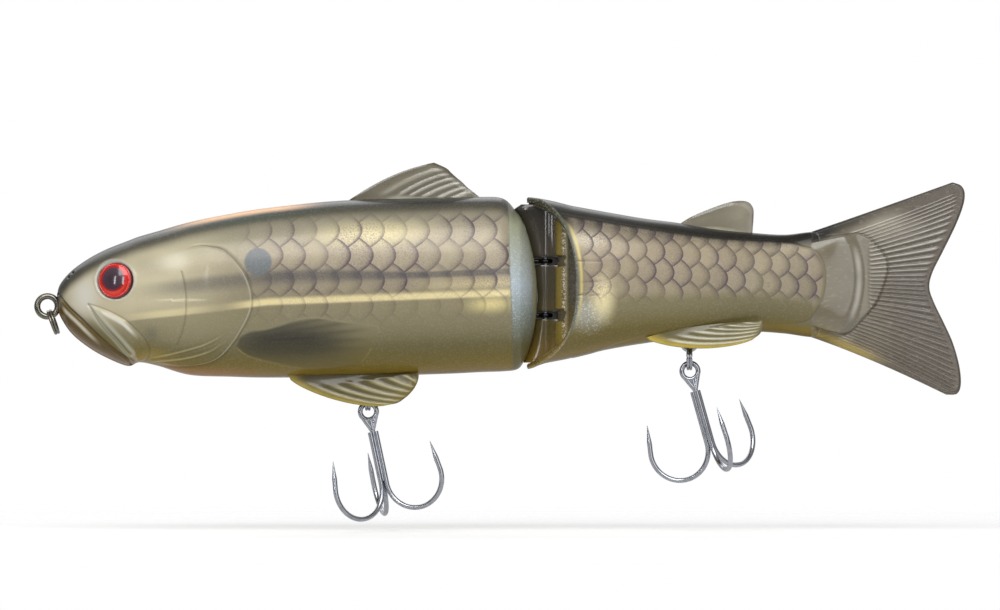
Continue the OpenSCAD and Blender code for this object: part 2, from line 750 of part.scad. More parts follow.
// A split ring: two coils side by side, whose wire ends show as a notch on each face
module split_ring() {
    rotate([0, 0, 90]) difference() {
        rotate([90, 0, 0]) rotate_extrude($fn = 64) for (side = [-1, 1])
            translate([ring_r, side * ring_wire * ring_pitch / 2]) circle(d = ring_wire);
        for (side = [-1, 1])
            translate([side * ring_r, side * ring_wire, 0])
                cube([2 * ring_wire, ring_wire, ring_wire / 2], center = true);
    }
}
tie_ring_drop = tie_hole - link_gap - ring_wire / 2;
tie_lean = 20;
module nose_split_ring() {
    color([0.78, 0.79, 0.81])
        rotate([0, -tie_lean, 0]) translate([0, 0, -tie_ring_drop - ring_r]) split_ring();
}

// Hinge: two screw eyes in the dome and the pin through them
module hinge_eye(z) {
    color([0.12, 0.12, 0.13]) translate([hinge_x, 0, z]) {
        rotate([90, 0, 0]) wire_ring(hinge_eye_r, hinge_wire);
        translate([-hinge_eye_r - hinge_shank, 0, 0])
            rotate([0, 90, 0]) cylinder(d = hinge_wire, h = hinge_shank);
    }
}
module hinge_eye_upper() {
    hinge_eye(eye_up_z);
}
module hinge_eye_lower() {
    hinge_eye(eye_low_z);
}
module hinge_pin() {
    color([0.7, 0.7, 0.72]) translate([hinge_x, 0, pin_z]) cylinder(d = pin_d, h = pin_len);
}

// Hook hangers: an eye below the belly on a stem with a button
module hook_hanger(x, z) {
    stem = hanger_hole + hanger_wire + hanger_depth;
    color([0.75, 0.76, 0.78]) translate([x, 0, z]) {
        wire_ring(hanger_eye_r, hanger_wire);
        translate([0, 0, hanger_eye_r]) cylinder(d = hanger_wire, h = stem - hanger_eye_r);
    }
}
module front_hook_hanger() {
    hook_hanger(front_hanger_x, front_eye_z);
}
module rear_hook_hanger() {
    hook_hanger(rear_hanger_x, rear_eye_z);
}
// How far below a hanger's eye the ring's middle and its lowest wire lie
hanger_ring_drop = hanger_hole - link_gap - ring_wire / 2 + ring_r;
hook_pivot_drop = hanger_ring_drop + ring_r;
module front_split_ring() {
    color([0.78, 0.79, 0.81])
        translate([front_hanger_x, 0, front_eye_z - hanger_ring_drop]) split_ring();
}
module rear_split_ring() {
    color([0.78, 0.79, 0.81])
        translate([rear_hanger_x, 0, rear_eye_z - hanger_ring_drop]) split_ring();
}

// Treble hook: three bent wires brazed round a core, hanging from its eye at the origin
prong_out = 0.65 * hook_wire;
module prong() {
    neck = 2 * hook_eye_r + 1.2;
    lean_x = prong_out + bend_r + bend_r * cos(point_lean);
    lean_z = -hook_len + bend_r * sin(point_lean);
    translate([prong_out, 0, -hook_len]) cylinder(d = hook_wire, h = hook_len - neck);
    translate([prong_out + bend_r, 0, -hook_len]) rotate([90, 0, 0])
        rotate_extrude(angle = 180 + point_lean, start = 180, $fn = 64)
            translate([bend_r, 0]) circle(d = hook_wire);
    // The straight part of the point, then its taper and its barb
    point_d = 0.98 * hook_wire;
    tip_d = 0.12;
    straight = 0.4 * point_len;
    translate([lean_x, 0, lean_z]) rotate([0, -point_lean, 0]) {
        translate([0, 0, -hook_wire / 4]) cylinder(d = point_d, h = straight + hook_wire / 4);
        translate([0, 0, straight]) cylinder(d1 = point_d, d2 = tip_d, h = point_len - straight);
        translate([-0.35 * hook_wire, 0, 0.8 * straight]) rotate([0, 155, 0])
            cylinder(d1 = 0.55 * hook_wire, d2 = tip_d, h = 0.7 * straight);
    }
}
module treble(turn) {
    hang = hook_eye_r - hook_wire / 2 - link_gap - ring_wire * (0.5 + ring_pitch / 2);
    core_len = hook_len - hook_eye_r - 0.7 * hook_wire;
    translate([0, 0, -hang]) {
        wire_ring(hook_eye_r, hook_wire);
        for (side = [-1, 1])
            translate([side * hook_eye_r * 0.80, 0, -hook_eye_r * 0.6])
                rotate([0, side * 24, 0]) translate([0, 0, -4.6]) cylinder(d = hook_wire, h = 4.6);
        translate([0, 0, -hook_eye_r - core_len]) cylinder(d = hook_wire, h = core_len);
        for (a = [0:120:240])
            rotate([0, 0, a + turn]) prong();
    }
}
front_hook_tilt = 12;
rear_hook_tilt = 15.7;
module front_treble_hook() {
    color([0.8, 0.82, 0.85])
        translate([front_hanger_x, 0, front_eye_z - hook_pivot_drop])
            rotate([0, -front_hook_tilt, 0]) treble(-20);
}
module rear_treble_hook() {
    color([0.8, 0.82, 0.85])
        translate([rear_hanger_x, 0, rear_eye_z - hook_pivot_drop])
            rotate([0, -rear_hook_tilt, 0]) treble(45);
}

front_shell_left();
front_shell_right();
rear_shell_left();
rear_shell_right();
front_foil_left();
front_foil_right();
rear_foil_left();
rear_foil_right();
eye_left();
eye_right();
tail_fin();
front_ballast();
rear_ballast();
line_tie();
nose_split_ring();
hinge_eye_upper();
hinge_eye_lower();
hinge_pin();
front_hook_hanger();
front_split_ring();
front_treble_hook();
rear_hook_hanger();
rear_split_ring();
rear_treble_hook();
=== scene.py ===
"""Looks of a two-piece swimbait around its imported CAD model.

Shapes are worked out in millimetres in the model's own frame: +X from nose to tail, +Z up, and the
fish's left side towards -Y. Surfaces are grids of points, whose paint and relief come from the
places of their features.
"""

import math

import bpy
import numpy as np
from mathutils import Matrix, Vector


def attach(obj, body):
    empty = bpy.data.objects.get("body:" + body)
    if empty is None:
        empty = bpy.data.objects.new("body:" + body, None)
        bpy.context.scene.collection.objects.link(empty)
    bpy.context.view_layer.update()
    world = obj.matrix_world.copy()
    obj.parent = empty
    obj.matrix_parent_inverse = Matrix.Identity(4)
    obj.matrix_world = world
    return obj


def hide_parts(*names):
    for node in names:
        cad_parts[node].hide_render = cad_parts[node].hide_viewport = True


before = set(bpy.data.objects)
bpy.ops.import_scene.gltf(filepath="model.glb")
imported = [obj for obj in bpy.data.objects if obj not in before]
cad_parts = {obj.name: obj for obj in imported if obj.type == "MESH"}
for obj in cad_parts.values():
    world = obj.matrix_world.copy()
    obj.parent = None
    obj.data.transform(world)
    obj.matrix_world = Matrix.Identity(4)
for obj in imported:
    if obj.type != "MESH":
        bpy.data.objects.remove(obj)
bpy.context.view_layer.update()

# ---------------------------------------------------------------- sizes, as in the CAD source
NOSE_X, FRONT_LEN = 2.6, 133.0
HINGE_X, REAR_LEN = 137.9, 73.5
TAIL_X = HINGE_X + REAR_LEN
TAIL_LEN, TAIL_H = 42.5, 58.8
HALF_H, HALF_W, BODY_Z = 24.9, 18.0, 5.4
SQUARENESS = 2.35
LIP_REACH, RIM_BACK, RIM_BOW = 5.2, 8.4, 1.05
EYE_UP_Z, EYE_LOW_Z, SLOT_H = 12.5, -2.5, 3.2
EYE_TOE, EYE_CANT, EYE_D = 19.0, 6.0, 10.0
# Millimetres to a pixel of the photograph, and the line tie's pixel
PX = 0.27685
TIE_PX = (47.5, 306.3)

# Rows: place, top, bottom, width and level of the widest line, as shares
FRONT = np.array([
    [0.000, -0.09, -0.21, 0.05, -0.15], [0.007, 0.03, -0.33, 0.18, -0.15],
    [0.029, 0.17, -0.51, 0.37, -0.14], [0.062, 0.30, -0.66, 0.53, -0.12],
    [0.100, 0.41, -0.78, 0.66, -0.10], [0.147, 0.51, -0.88, 0.78, -0.07],
    [0.172, 0.56, -0.84, 0.82, -0.06], [0.211, 0.62, -0.88, 0.87, -0.04],
    [0.277, 0.72, -0.98, 0.94, 0.00], [0.360, 0.81, -1.00, 0.98, 0.00],
    [0.444, 0.88, -1.01, 1.00, 0.00], [0.597, 0.96, -1.00, 1.00, 0.00],
    [0.798, 0.99, -0.97, 0.98, 0.00], [0.879, 1.00, -0.95, 0.97, 0.00],
    [0.929, 0.98, -0.94, 0.93, -0.02], [0.957, 0.83, -0.92, 0.85, -0.05],
    [0.970, 0.72, -0.85, 0.77, -0.07], [0.985, 0.49, -0.67, 0.58, -0.09],
    [0.996, 0.20, -0.40, 0.32, -0.10], [1.000, -0.05, -0.17, 0.04, -0.11],
])
REAR = np.array([
    [-0.08, 1.00, -0.92, 0.95, 0.00], [0.00, 0.97, -0.85, 0.93, 0.00],
    [0.10, 0.90, -0.79, 0.89, 0.00], [0.23, 0.83, -0.70, 0.82, 0.02],
    [0.37, 0.76, -0.63, 0.73, 0.03], [0.50, 0.71, -0.58, 0.62, 0.03],
    [0.64, 0.64, -0.53, 0.51, 0.03], [0.78, 0.60, -0.50, 0.40, 0.03],
    [0.90, 0.58, -0.52, 0.31, 0.02], [1.00, 0.61, -0.56, 0.23, 0.02],
])
TAIL_EDGE = np.array([
    [0.88, -1.00], [0.95, -0.99], [0.975, -0.90], [0.965, -0.73], [0.925, -0.52], [0.87, -0.34],
    [0.80, -0.13], [0.77, 0.01], [0.79, 0.15], [0.855, 0.34], [0.94, 0.59], [0.99, 0.78],
    [1.00, 0.90], [0.975, 0.97], [0.92, 1.00],
])


# ---------------------------------------------------------------- numbers and curves
def mix(a, b, t):
    return a + (b - a) * t


def ramp(v, low, high):
    """A smooth step from 0 at low to 1 at high."""
    t = np.clip((v - low) / (high - low), 0, 1)
    return t * t * (3 - 2 * t)


def bump_at(v, middle, half):
    """A smooth hump of height 1 at middle, which ends half away from it."""
    return 1 - ramp(np.abs(v - middle), 0, half)


def px(column):
    """The x of a column of the photograph's pixels, in millimetres."""
    return (column - TIE_PX[0]) * PX


def pz(row):
    """The z of a row of the photograph's pixels, in millimetres."""
    return (TIE_PX[1] - row) * PX


def past(x, low, high):
    """A smooth step over x, from 0 at the photograph's column low to 1 at its column high."""
    return ramp(x, px(low), px(high))


def blot(x, z, column, row, radius, squeeze_x=1.0, squeeze_z=1.0):
    """A smooth spot of 1 about a pixel of the photograph."""
    return bump_at(np.hypot((x - px(column)) * squeeze_x, (z - pz(row)) * squeeze_z), 0, radius)


def spline(rows, t):
    """A smooth curve through rows, at t rows from the first."""
    rows = np.asarray(rows, float)
    t = np.asarray(t, float)
    last = len(rows) - 1
    i = np.clip(np.floor(t).astype(int), 0, last - 1)
    f = (t - i)[..., None]
    a, b, c, d = (rows[np.clip(i + k, 0, last)] for k in (-1, 0, 1, 2))
    return 0.5 * (2 * b + (c - a) * f + (2 * a - 5 * b + 4 * c - d) * f**2 + (3 * b - a - 3 * c + d) * f**3)


def photo(*points):
    """Points of the photograph, in pixels, as [x, z] in millimetres."""
    return np.array([[px(column), pz(row)] for column, row in points])


def curve(points, per=8):
    """A smooth line through points."""
    return spline(points, np.linspace(0, len(points) - 1, (len(points) - 1) * per + 1))


def loop(points, per=8):
    return curve(np.vstack([points, points[:1]]), per)


def near(line, x, z):
    """Distance from each place to a line of points."""
    best = np.full(x.shape, 1e9)
    for (ax, az), (bx, bz) in zip(line[:-1], line[1:]):
        dx, dz = bx - ax, bz - az
        t = np.clip(((x - ax) * dx + (z - az) * dz) / (dx * dx + dz * dz + 1e-12), 0, 1)
        best = np.minimum(best, np.hypot(x - ax - t * dx, z - az - t * dz))
    return best


def depth(outline, x, z):
    """Distance into a closed outline, less than 0 outside it."""
    odd = np.zeros(x.shape, bool)
    for (ax, az), (bx, bz) in zip(outline[:-1], outline[1:]):
        if az != bz:
            odd ^= ((az > z) != (bz > z)) & (x < (bx - ax) * (z - az) / (bz - az) + ax)
    d = near(outline, x, z)
    return np.where(odd, d, -d)


def section(rows, u):
    return spline(rows, np.interp(u, rows[:, 0], np.arange(len(rows))))


def sized(row):
    """Top, bottom, half width and widest level of a row, in millimetres."""
    top, bottom, level = (BODY_Z + row[..., k] * HALF_H for k in (1, 2, 4))
    return top, bottom, row[..., 3] * HALF_W, level


def front_section(x):
    return sized(section(FRONT, (x - NOSE_X) / FRONT_LEN))


def rear_section(x):
    return sized(section(REAR, (x - HINGE_X) / REAR_LEN))


def on_section(s, angle):
    """y and z of the left side of a section, from the top at 90 degrees to the bottom at -90."""
    top, bottom, wide, level = s
    up = np.abs(np.sin(angle)) ** (2 / SQUARENESS)
    out = np.clip(np.cos(angle), 0, 1) ** (2 / SQUARENESS)
    return -wide * out, level + np.where(angle > 0, top - level, level - bottom) * up * np.sign(angle)


def normals(points):
    """Outward normals of a grid on the left side."""
    n = np.cross(np.gradient(points, axis=0), np.gradient(points, axis=1))
    n /= np.linalg.norm(n, axis=2, keepdims=True) + 1e-12
    return n if n[..., 1].mean() < 0 else -n


# ---------------------------------------------------------------- colours
def srgb(r, g, b):
    """A colour of 0 to 255 as linear light."""
    c = np.array([r, g, b]) / 255
    return np.where(c <= 0.04045, c / 12.92, ((c + 0.055) / 1.055) ** 2.4)


def paint(base, colour, mask):
    """base turned where mask is 1 to a colour, which is 0 to 255 in a tuple or an array of linear light."""
    colour = srgb(*colour) if isinstance(colour, tuple) else colour
    return base + (colour - base) * np.clip(mask, 0, 1)[..., None]


def plain(colour, points):
    """One colour for a grid of points."""
    return np.broadcast_to(srgb(*colour), points.shape)


def shades(value, *steps):
    """Colours along steps of (value, r, g, b)."""
    stops = [s[0] for s in steps]
    colours = np.array([srgb(*s[1:]) for s in steps])
    return np.stack([np.interp(value, stops, colours[:, k]) for k in range(3)], axis=-1)


# ---------------------------------------------------------------- meshes
MIRROR = np.array([1, -1, 1])


class Surface:
    """Grids of points with numbers and colours on them, made into one object."""

    def __init__(self):
        self.points, self.faces, self.slots = [], [], []
        self.numbers, self.count = {}, 0

    def add(self, grid, slot=0, wrap=False, **numbers):
        """slot is a material's place, for all faces or for each; wrap joins the last column to the first."""
        n, m = grid.shape[:2]
        at = self.count + np.arange(n * m).reshape(n, m)
        if wrap:
            at = np.hstack([at, at[:, :1]])
        quads = np.stack([at[:-1, :-1], at[1:, :-1], at[1:, 1:], at[:-1, 1:]], axis=-1).reshape(-1, 4)
        self.points.append(grid.reshape(-1, 3))
        self.faces.append(quads)
        self.slots.append(np.broadcast_to(np.ravel(slot), len(quads)))
        for name, value in numbers.items():
            self.numbers.setdefault(name, []).append((self.count, np.asarray(value).reshape(n * m, -1)))
        self.count += n * m

    def make(self, name, body, materials, mirrored=False, both=False):
        """One object on a body: as it is, mirrored to the right side, or on both sides."""
        points, faces, slots = np.vstack(self.points), np.vstack(self.faces), np.concatenate(self.slots)
        if mirrored:
            points, faces = points * MIRROR, faces[:, ::-1]
        if both:
            points = np.vstack([points, points * MIRROR])
            faces = np.vstack([faces, faces[:, ::-1] + self.count])
            slots = np.tile(slots, 2)
        mesh = bpy.data.meshes.new(name)
        mesh.from_pydata((points * 0.001).tolist(), [], faces.tolist())
        mesh.polygons.foreach_set("use_smooth", [True] * len(mesh.polygons))
        mesh.polygons.foreach_set("material_index", slots.astype(np.int32))
        for key, parts in self.numbers.items():
            width = parts[0][1].shape[1]
            values = np.zeros((self.count, width))
            for start, part in parts:
                values[start : start + len(part)] = part
            values = np.tile(values, (2 if both else 1, 1))
            kind, field = "FLOAT", "value"
            if width == 3:
                values = np.hstack([values, np.ones((len(values), 1))])
                kind, field = "FLOAT_COLOR", "color"
            layer = mesh.attributes.new(key, kind, "POINT")
            layer.data.foreach_set(field, values.ravel().astype(np.float32))
        mesh.validate()
        mesh.update()
        obj = bpy.data.objects.new(name, mesh)
        bpy.context.scene.collection.objects.link(obj)
        for m in materials:
            mesh.materials.append(m)
        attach(obj, body)
        return obj


def shell_of(front, back):
    """The grids of a thin closed solid between two grids: its faces and its rim."""
    edge_f = np.concatenate([front[0], front[1:, -1], front[-1, -2::-1], front[-2:0:-1, 0]])
    edge_b = np.concatenate([back[0], back[1:, -1], back[-1, -2::-1], back[-2:0:-1, 0]])
    return front, back[:, ::-1], np.stack([edge_b, edge_f], axis=1)


# ---------------------------------------------------------------- shader maths
def node(tree, kind, inputs=None, **settings):
    """A new shader node, whose inputs take numbers, colours, Fields or sockets."""
    made = tree.nodes.new("ShaderNode" + kind)
    for name, value in settings.items():
        setattr(made, name, value)
    for name, value in (inputs or {}).items():
        value = getattr(value, "socket", value)
        if hasattr(value, "is_output"):
            tree.links.new(value, made.inputs[name])
        else:
            made.inputs[name].default_value = value
    return made


class Field:
    """A number at each place of a surface, made by shader nodes."""

    def __init__(self, tree, socket):
        self.tree, self.socket = tree, socket

    def op(self, kind, *others):
        made = node(self.tree, "Math", dict(enumerate((self, *others))), operation=kind)
        return Field(self.tree, made.outputs[0])

    def __add__(self, o):
        return self.op("ADD", o)

    def __sub__(self, o):
        return self.op("SUBTRACT", o)

    def __mul__(self, o):
        return self.op("MULTIPLY", o)

    def less(self, o):
        return self.op("LESS_THAN", o)

    def fract(self):
        return self.op("FRACT")

    def floor(self):
        return self.op("FLOOR")

    def smooth(self, low, high, start=0.0, end=1.0):
        """A smooth step from start at low to end at high."""
        inputs = {"Value": self, "From Min": low, "From Max": high, "To Min": start, "To Max": end}
        made = node(self.tree, "MapRange", inputs, interpolation_type="SMOOTHSTEP")
        return Field(self.tree, made.outputs["Result"])


def choose(a, b, pick):
    """a where pick is 0 and b where it is 1."""
    return a + (b - a) * pick


class Material:
    """A Principled material and the helpers that feed it."""

    def __init__(self, name, colour=(0.5, 0.5, 0.5), **inputs):
        self.mat = bpy.data.materials.new(name)
        self.mat.use_nodes = True
        self.tree = self.mat.node_tree
        self.shader = self.tree.nodes["Principled BSDF"]
        self.shader.inputs["Base Color"].default_value = (*colour, 1)
        for key, value in inputs.items():
            self.shader.inputs[key.replace("_", " ").title().replace("Ior", "IOR")].default_value = value

    def link(self, value, name):
        self.tree.links.new(getattr(value, "socket", value), self.shader.inputs[name])

    def here(self):
        """The object's own coordinates, in metres."""
        return node(self.tree, "TexCoord").outputs["Object"]

    def place(self):
        """The object's own x, y and z in millimetres."""
        parts = node(self.tree, "SeparateXYZ", {0: self.here()})
        return [Field(self.tree, parts.outputs[k]) * 1000.0 for k in range(3)]

    def attribute(self, name):
        return Field(self.tree, node(self.tree, "Attribute", attribute_name=name).outputs["Fac"])

    def tint(self):
        """The colour painted on the surface."""
        return node(self.tree, "Attribute", attribute_name="tint").outputs["Color"]

    def texture(self, kind, size, stretch=(1, 1, 1), **inputs):
        """A texture whose cells or lumps are size millimetres wide."""
        scaled = node(self.tree, "Mapping",
                      {"Vector": self.here(), "Scale": [1000.0 / size * s for s in stretch]})
        return node(self.tree, kind, {"Vector": scaled.outputs[0], "Scale": 1.0, **inputs})

    def noise(self, size, detail=3.0, stretch=(1, 1, 1)):
        """Noise of about 0 to 1."""
        return Field(self.tree, self.texture("TexNoise", size, stretch, Detail=detail).outputs["Fac"])

    def specks(self, size, share):
        """Fine flakes: 1 on about share of the cells."""
        cells = self.texture("TexVoronoi", size)
        parts = node(self.tree, "SeparateColor", {0: cells.outputs["Color"]})
        return Field(self.tree, parts.outputs[0]).smooth(1 - share - 0.05, 1 - share + 0.05)

    def mixed(self, a, b, pick):
        """Colour a turned to b where pick is 1."""
        a, b = (v if hasattr(v, "is_output") else (*v, 1) for v in (a, b))
        return node(self.tree, "Mix", {"Factor": pick, "A": a, "B": b}, data_type="RGBA").outputs["Result"]

    def bump(self, height, distance, strength):
        """The surface's normal under a relief of distance millimetres."""
        inputs = {"Distance": distance * 0.001, "Strength": strength, "Height": height}
        self.link(node(self.tree, "Bump", inputs).outputs["Normal"], "Normal")


def scale_rows(material, pitch, row_pitch, apex, slope=0.0, bow=1.31):
    """Overlapping fish scales whose free edges bow towards the tail.

    Returns how far into its scale a place is from that scale's free edge, 0 at the edge, in
    pitches, and a number that differs from scale to scale.
    """
    x, _, z = material.place()
    tree = material.tree
    rows = (z + (x - apex[0]) * slope - apex[1]) * (1 / row_pitch) + 40.0
    own = (rows + 0.5).floor()
    off = rows - own
    side = off.less(0.0) * -2.0 + 1.0
    across = (x - apex[0]) * (1 / pitch) + 60.0

    def scale_at(row, dz):
        half = (row * 0.5).fract()
        g = across - half + dz * dz * bow
        return g.floor() + half, g.fract()

    own_end, own_in = scale_at(own, off)
    next_end, next_in = scale_at(own + side, off - side)
    covered = (next_end - own_end).less(0.0)
    inside = choose(own_in, next_in, covered)
    key = choose(own_end * 7.13 + own * 3.7, next_end * 7.13 + (own + side) * 3.7, covered)
    return inside * -1.0 + 1.0, key.op("SINE") * 43.7


# ---------------------------------------------------------------- lines of the head and flank
MOUTH = curve(photo((58, 294), (68, 306), (82, 319), (93, 330), (107, 343), (117, 351), (128, 359),
                    (132, 366)))
JAW = loop(photo((54, 292), (68, 306), (82, 319), (93, 330), (107, 343), (117, 351), (128, 359), (134, 368),
                 (110, 368), (80, 352), (56, 325), (48, 305)), 5)
MAXILLA = loop(photo((90, 304), (106, 309), (126, 319), (137, 328.6), (146, 338), (151, 350), (147, 359),
                     (137, 361.5),
                     (129, 354), (118, 341), (104, 326)), 6)
MAXILLA_EDGE = curve(photo((90, 305), (106, 324), (120, 339), (131, 352)))
GILL = loop(photo((176, 252), (200, 247.5), (215, 248.7), (225.4, 252), (236.6, 262.7), (246.4, 276.7),
                  (252, 293.6),
                  (251.3, 310.4), (243.6, 327), (232.4, 344), (219.8, 356.7), (204.3, 363), (183.3,
                      365), (165, 363.5),
                  (151, 361), (148, 340), (152, 300), (160, 265)), 6)
PREOPERCLE = curve(photo((183.5, 272), (187, 290), (188, 310), (184.7, 330), (178.4, 345)))
GILL_LINES = [
    curve(photo((232.4, 328.6), (220, 337), (204.3, 344.5), (179, 351.5), (155, 357.4))),
    curve(photo((228, 339), (214, 349), (196, 355), (176, 358.5), (153, 361))),
]
PECTORAL = loop(photo((236, 346), (241, 336), (252, 330), (270, 327.5), (297.7, 319), (320, 317),
                      (344, 321),
                      (366, 323.5), (380, 328), (374, 345), (359, 364), (325.5, 370), (298, 368), (270,
                          362),
                      (249, 356)), 6)
REAR_FOIL = loop(photo((560, 214), (700, 236), (780, 241), (802, 246), (814.6, 250.4), (823, 262.8),
                       (825, 279.4),
                       (822, 297.6), (813, 312.6), (803, 321), (760, 325), (640, 336), (560, 352)), 4)
POCKET = loop(photo((790, 246), (810, 242), (835, 237), (856.4, 233.7), (868, 237), (876, 244), (882, 251),
                    (887, 259), (888, 268), (885.5, 280), (881, 293), (877, 302), (871, 310), (863,
                        319), (856, 327),
                    (850, 332), (841.5, 334), (826.6, 331), (810, 326), (790, 322)), 5)
EYE_X = NOSE_X + 0.125 * FRONT_LEN
EYE_Z = BODY_Z + 0.07 * HALF_H
CUP_X = HINGE_X + 2.4
WEB_R, WEB_FOOT, WEB_HEAD, WEB_FREE = 1.75, -15.6, 28.2, 1.0
CUP_FRONT_COLUMNS = 26


# ---------------------------------------------------------------- materials
def skin_material():
    """Clear moulded plastic over a printed reflective foil: painted tint, scales and flakes."""
    m = Material("clear_shell_over_foil", roughness=0.4, coat_weight=0.35, coat_roughness=0.14,
                 specular_ior_level=0.15)
    foil = m.attribute("foil")
    tail_side = m.place()[0].smooth(HINGE_X - 4, HINGE_X - 3)
    front_in, front_key = scale_rows(m, 6.2, 6.9, (84.35, 14.06))
    rear_in, rear_key = scale_rows(m, 4.95, 5.5, (183.3, 8.2), slope=0.108, bow=1.2)
    inside = choose(front_in, rear_in, tail_side)
    key = choose(front_key, rear_key, tail_side)
    line = inside.smooth(0.03, 0.18, 1.0, 0.0)
    halo = inside.smooth(0.03, 0.32, 1.0, 0.0)
    grain = m.noise(0.35, 2.0)
    cloud = m.noise(14.0, 2.0)
    flake = m.specks(0.32, 0.22) * m.attribute("flake")
    bright = key.fract() * 0.35 + inside.smooth(0.1, 0.6, -0.1, 0.5)
    tone = m.tint()
    for colour, pick in (
        ((202, 188, 158), foil * bright * grain.smooth(0.3, 0.6, 0.25, 0.7)),
        ((112, 98, 108), foil * grain.smooth(0.42, 0.62) * cloud.smooth(0.3, 0.6, 0.15, 0.5)),
        ((110, 94, 100), foil * halo * cloud.smooth(0.35, 0.6, 0.2, 0.55)),
        ((74, 58, 72), foil * line * cloud.smooth(0.35, 0.62, 0.1, 0.65)),
        ((242, 244, 240), flake * 0.55),
    ):
        tone = m.mixed(tone, srgb(*colour), pick)
    m.link(tone, "Base Color")
    m.link(m.attribute("metal"), "Metallic")
    m.bump(inside.smooth(0.0, 0.14) * foil + grain * foil * 0.25 + flake * 0.4, 0.1, 0.5)
    return m.mat


def cup_material():
    """Smoky brown clear plastic inside the hinge's cup."""
    m = Material("smoke_plastic", roughness=0.22, coat_weight=0.8, coat_roughness=0.06)
    grain = m.noise(0.8, 3.0)
    spark = m.specks(0.3, 0.3) * m.attribute("flake")
    tone = m.mixed(m.tint(), srgb(40, 34, 24), grain.smooth(0.5, 0.8) * 0.25)
    m.link(m.mixed(tone, srgb(246, 240, 214), spark * 0.8), "Base Color")
    m.link(m.attribute("metal"), "Metallic")
    m.bump(grain * 0.3 + spark * 0.5, 0.1, 0.4)
    return m.mat


def fin_material(name, alpha, coat):
    """Thin clear tinted plastic of the fins."""
    m = Material(name, roughness=0.25, coat_weight=coat, coat_roughness=0.04)
    cloud = m.noise(5.0, 2.0)
    m.link(m.mixed(m.tint(), srgb(70, 62, 40), cloud.smooth(0.45, 0.75) * 0.2), "Base Color")
    m.link(m.attribute("solid") * (1 - alpha) + alpha, "Alpha")
    m.bump(m.noise(0.5, 2.0), 0.03, 0.3)
    return m.mat


def tail_material():
    """Soft smoke-tinted rubber of the tail."""
    m = Material("soft_smoke_tail", roughness=0.2, coat_weight=0.7, coat_roughness=0.08)
    cloud = m.noise(7.0, 3.0)
    fine = m.noise(0.7, 2.0, stretch=(0.35, 1, 1))
    tone = m.mixed(m.tint(), srgb(86, 74, 62), cloud.smooth(0.4, 0.75) * 0.25)
    m.link(m.mixed(tone, srgb(190, 182, 166), fine.smooth(0.55, 0.75) * 0.18), "Base Color")
    m.link(m.attribute("solid") * 0.14 + 0.86, "Alpha")
    m.bump(fine, 0.04, 0.35)
    return m.mat


def eye_material():
    """A printed metallic disc under a clear crown."""
    m = Material("red_eye", roughness=0.18, coat_weight=1.0, coat_roughness=0.02)
    foil = m.noise(0.35, 3.0)
    spark = m.attribute("flake") * foil.smooth(0.5, 0.75) * 0.6
    m.link(m.mixed(m.tint(), srgb(255, 120, 96), spark), "Base Color")
    m.link(m.attribute("metal"), "Metallic")
    m.bump(foil * m.attribute("metal"), 0.05, 0.4)
    return m.mat


def metal_material(name, colour, roughness, worn):
    """Plated wire: smooth, with faint draw marks and duller patches."""
    m = Material(name, metallic=1.0, roughness=roughness)
    patch = m.noise(2.2, 3.0)
    m.link(m.mixed(srgb(*colour), srgb(*worn), patch.smooth(0.45, 0.75) * 0.6), "Base Color")
    m.link(patch.smooth(0.35, 0.75, roughness, roughness * 1.9), "Roughness")
    m.bump(m.noise(0.25, 2.0), 0.01, 0.25)
    return m.mat


skin = skin_material()
smoke = cup_material()
dorsal_clear = fin_material("smoke_fin", 0.78, 1.0)
belly_clear = fin_material("gold_fin", 0.86, 0.3)
tail_rubber = tail_material()
red_eye = eye_material()
nickel = metal_material("nickel", (176, 179, 186), 0.14, (138, 141, 148))
bronzed = metal_material("nickel_tie", (132, 128, 118), 0.16, (92, 88, 78))
black_nickel = metal_material("black_nickel", (46, 45, 48), 0.12, (28, 27, 30))
steel = metal_material("pin_steel", (170, 170, 172), 0.25, (130, 130, 132))
lead_grey = metal_material("ballast_iron", (110, 110, 114), 0.45, (84, 84, 88))
foil_back = metal_material("foil_sheet", (206, 192, 150), 0.3, (176, 162, 128))


# ---------------------------------------------------------------- front section
def front_grid(turns=280):
    """The left side of the front section, with rows close together where its form turns quickly."""
    fine = np.linspace(0, len(FRONT) - 1, 4000)
    rows = spline(FRONT, fine)
    travel = np.concatenate([[0],
                             np.cumsum(np.abs(np.diff(rows[:, 0])) * FRONT_LEN / 0.36 + np.diff(fine)
                                       / 0.1)])
    t = np.interp(np.linspace(0, travel[-1], int(travel[-1])), travel, fine)
    rows = np.repeat(spline(FRONT, t)[:, None, :], turns + 1, axis=1)
    angle = np.radians(np.linspace(90, -90, turns + 1))[None, :]
    y, z = on_section(sized(rows), angle)
    return np.stack([NOSE_X + rows[..., 0] * FRONT_LEN, y, z], axis=-1)


CAP = (0.02, 0.5, 0.9)


def capped(grid):
    """The grid with its end rows drawn together to a point."""
    ends = []
    for end in (grid[0], grid[-1]):
        middle = np.array([end[:, 0].mean(), 0, (end[0, 2] + end[-1, 2]) / 2])
        ends.append(middle + (end - middle) * np.array(CAP)[:, None, None])
    return np.concatenate([ends[0], grid, ends[1][::-1]])


def carried(values):
    """Values for a capped grid, from those of the grid itself."""
    first, last = (np.repeat(end, len(CAP), axis=0) for end in (values[:1], values[-1:]))
    return np.concatenate([first, values, last])


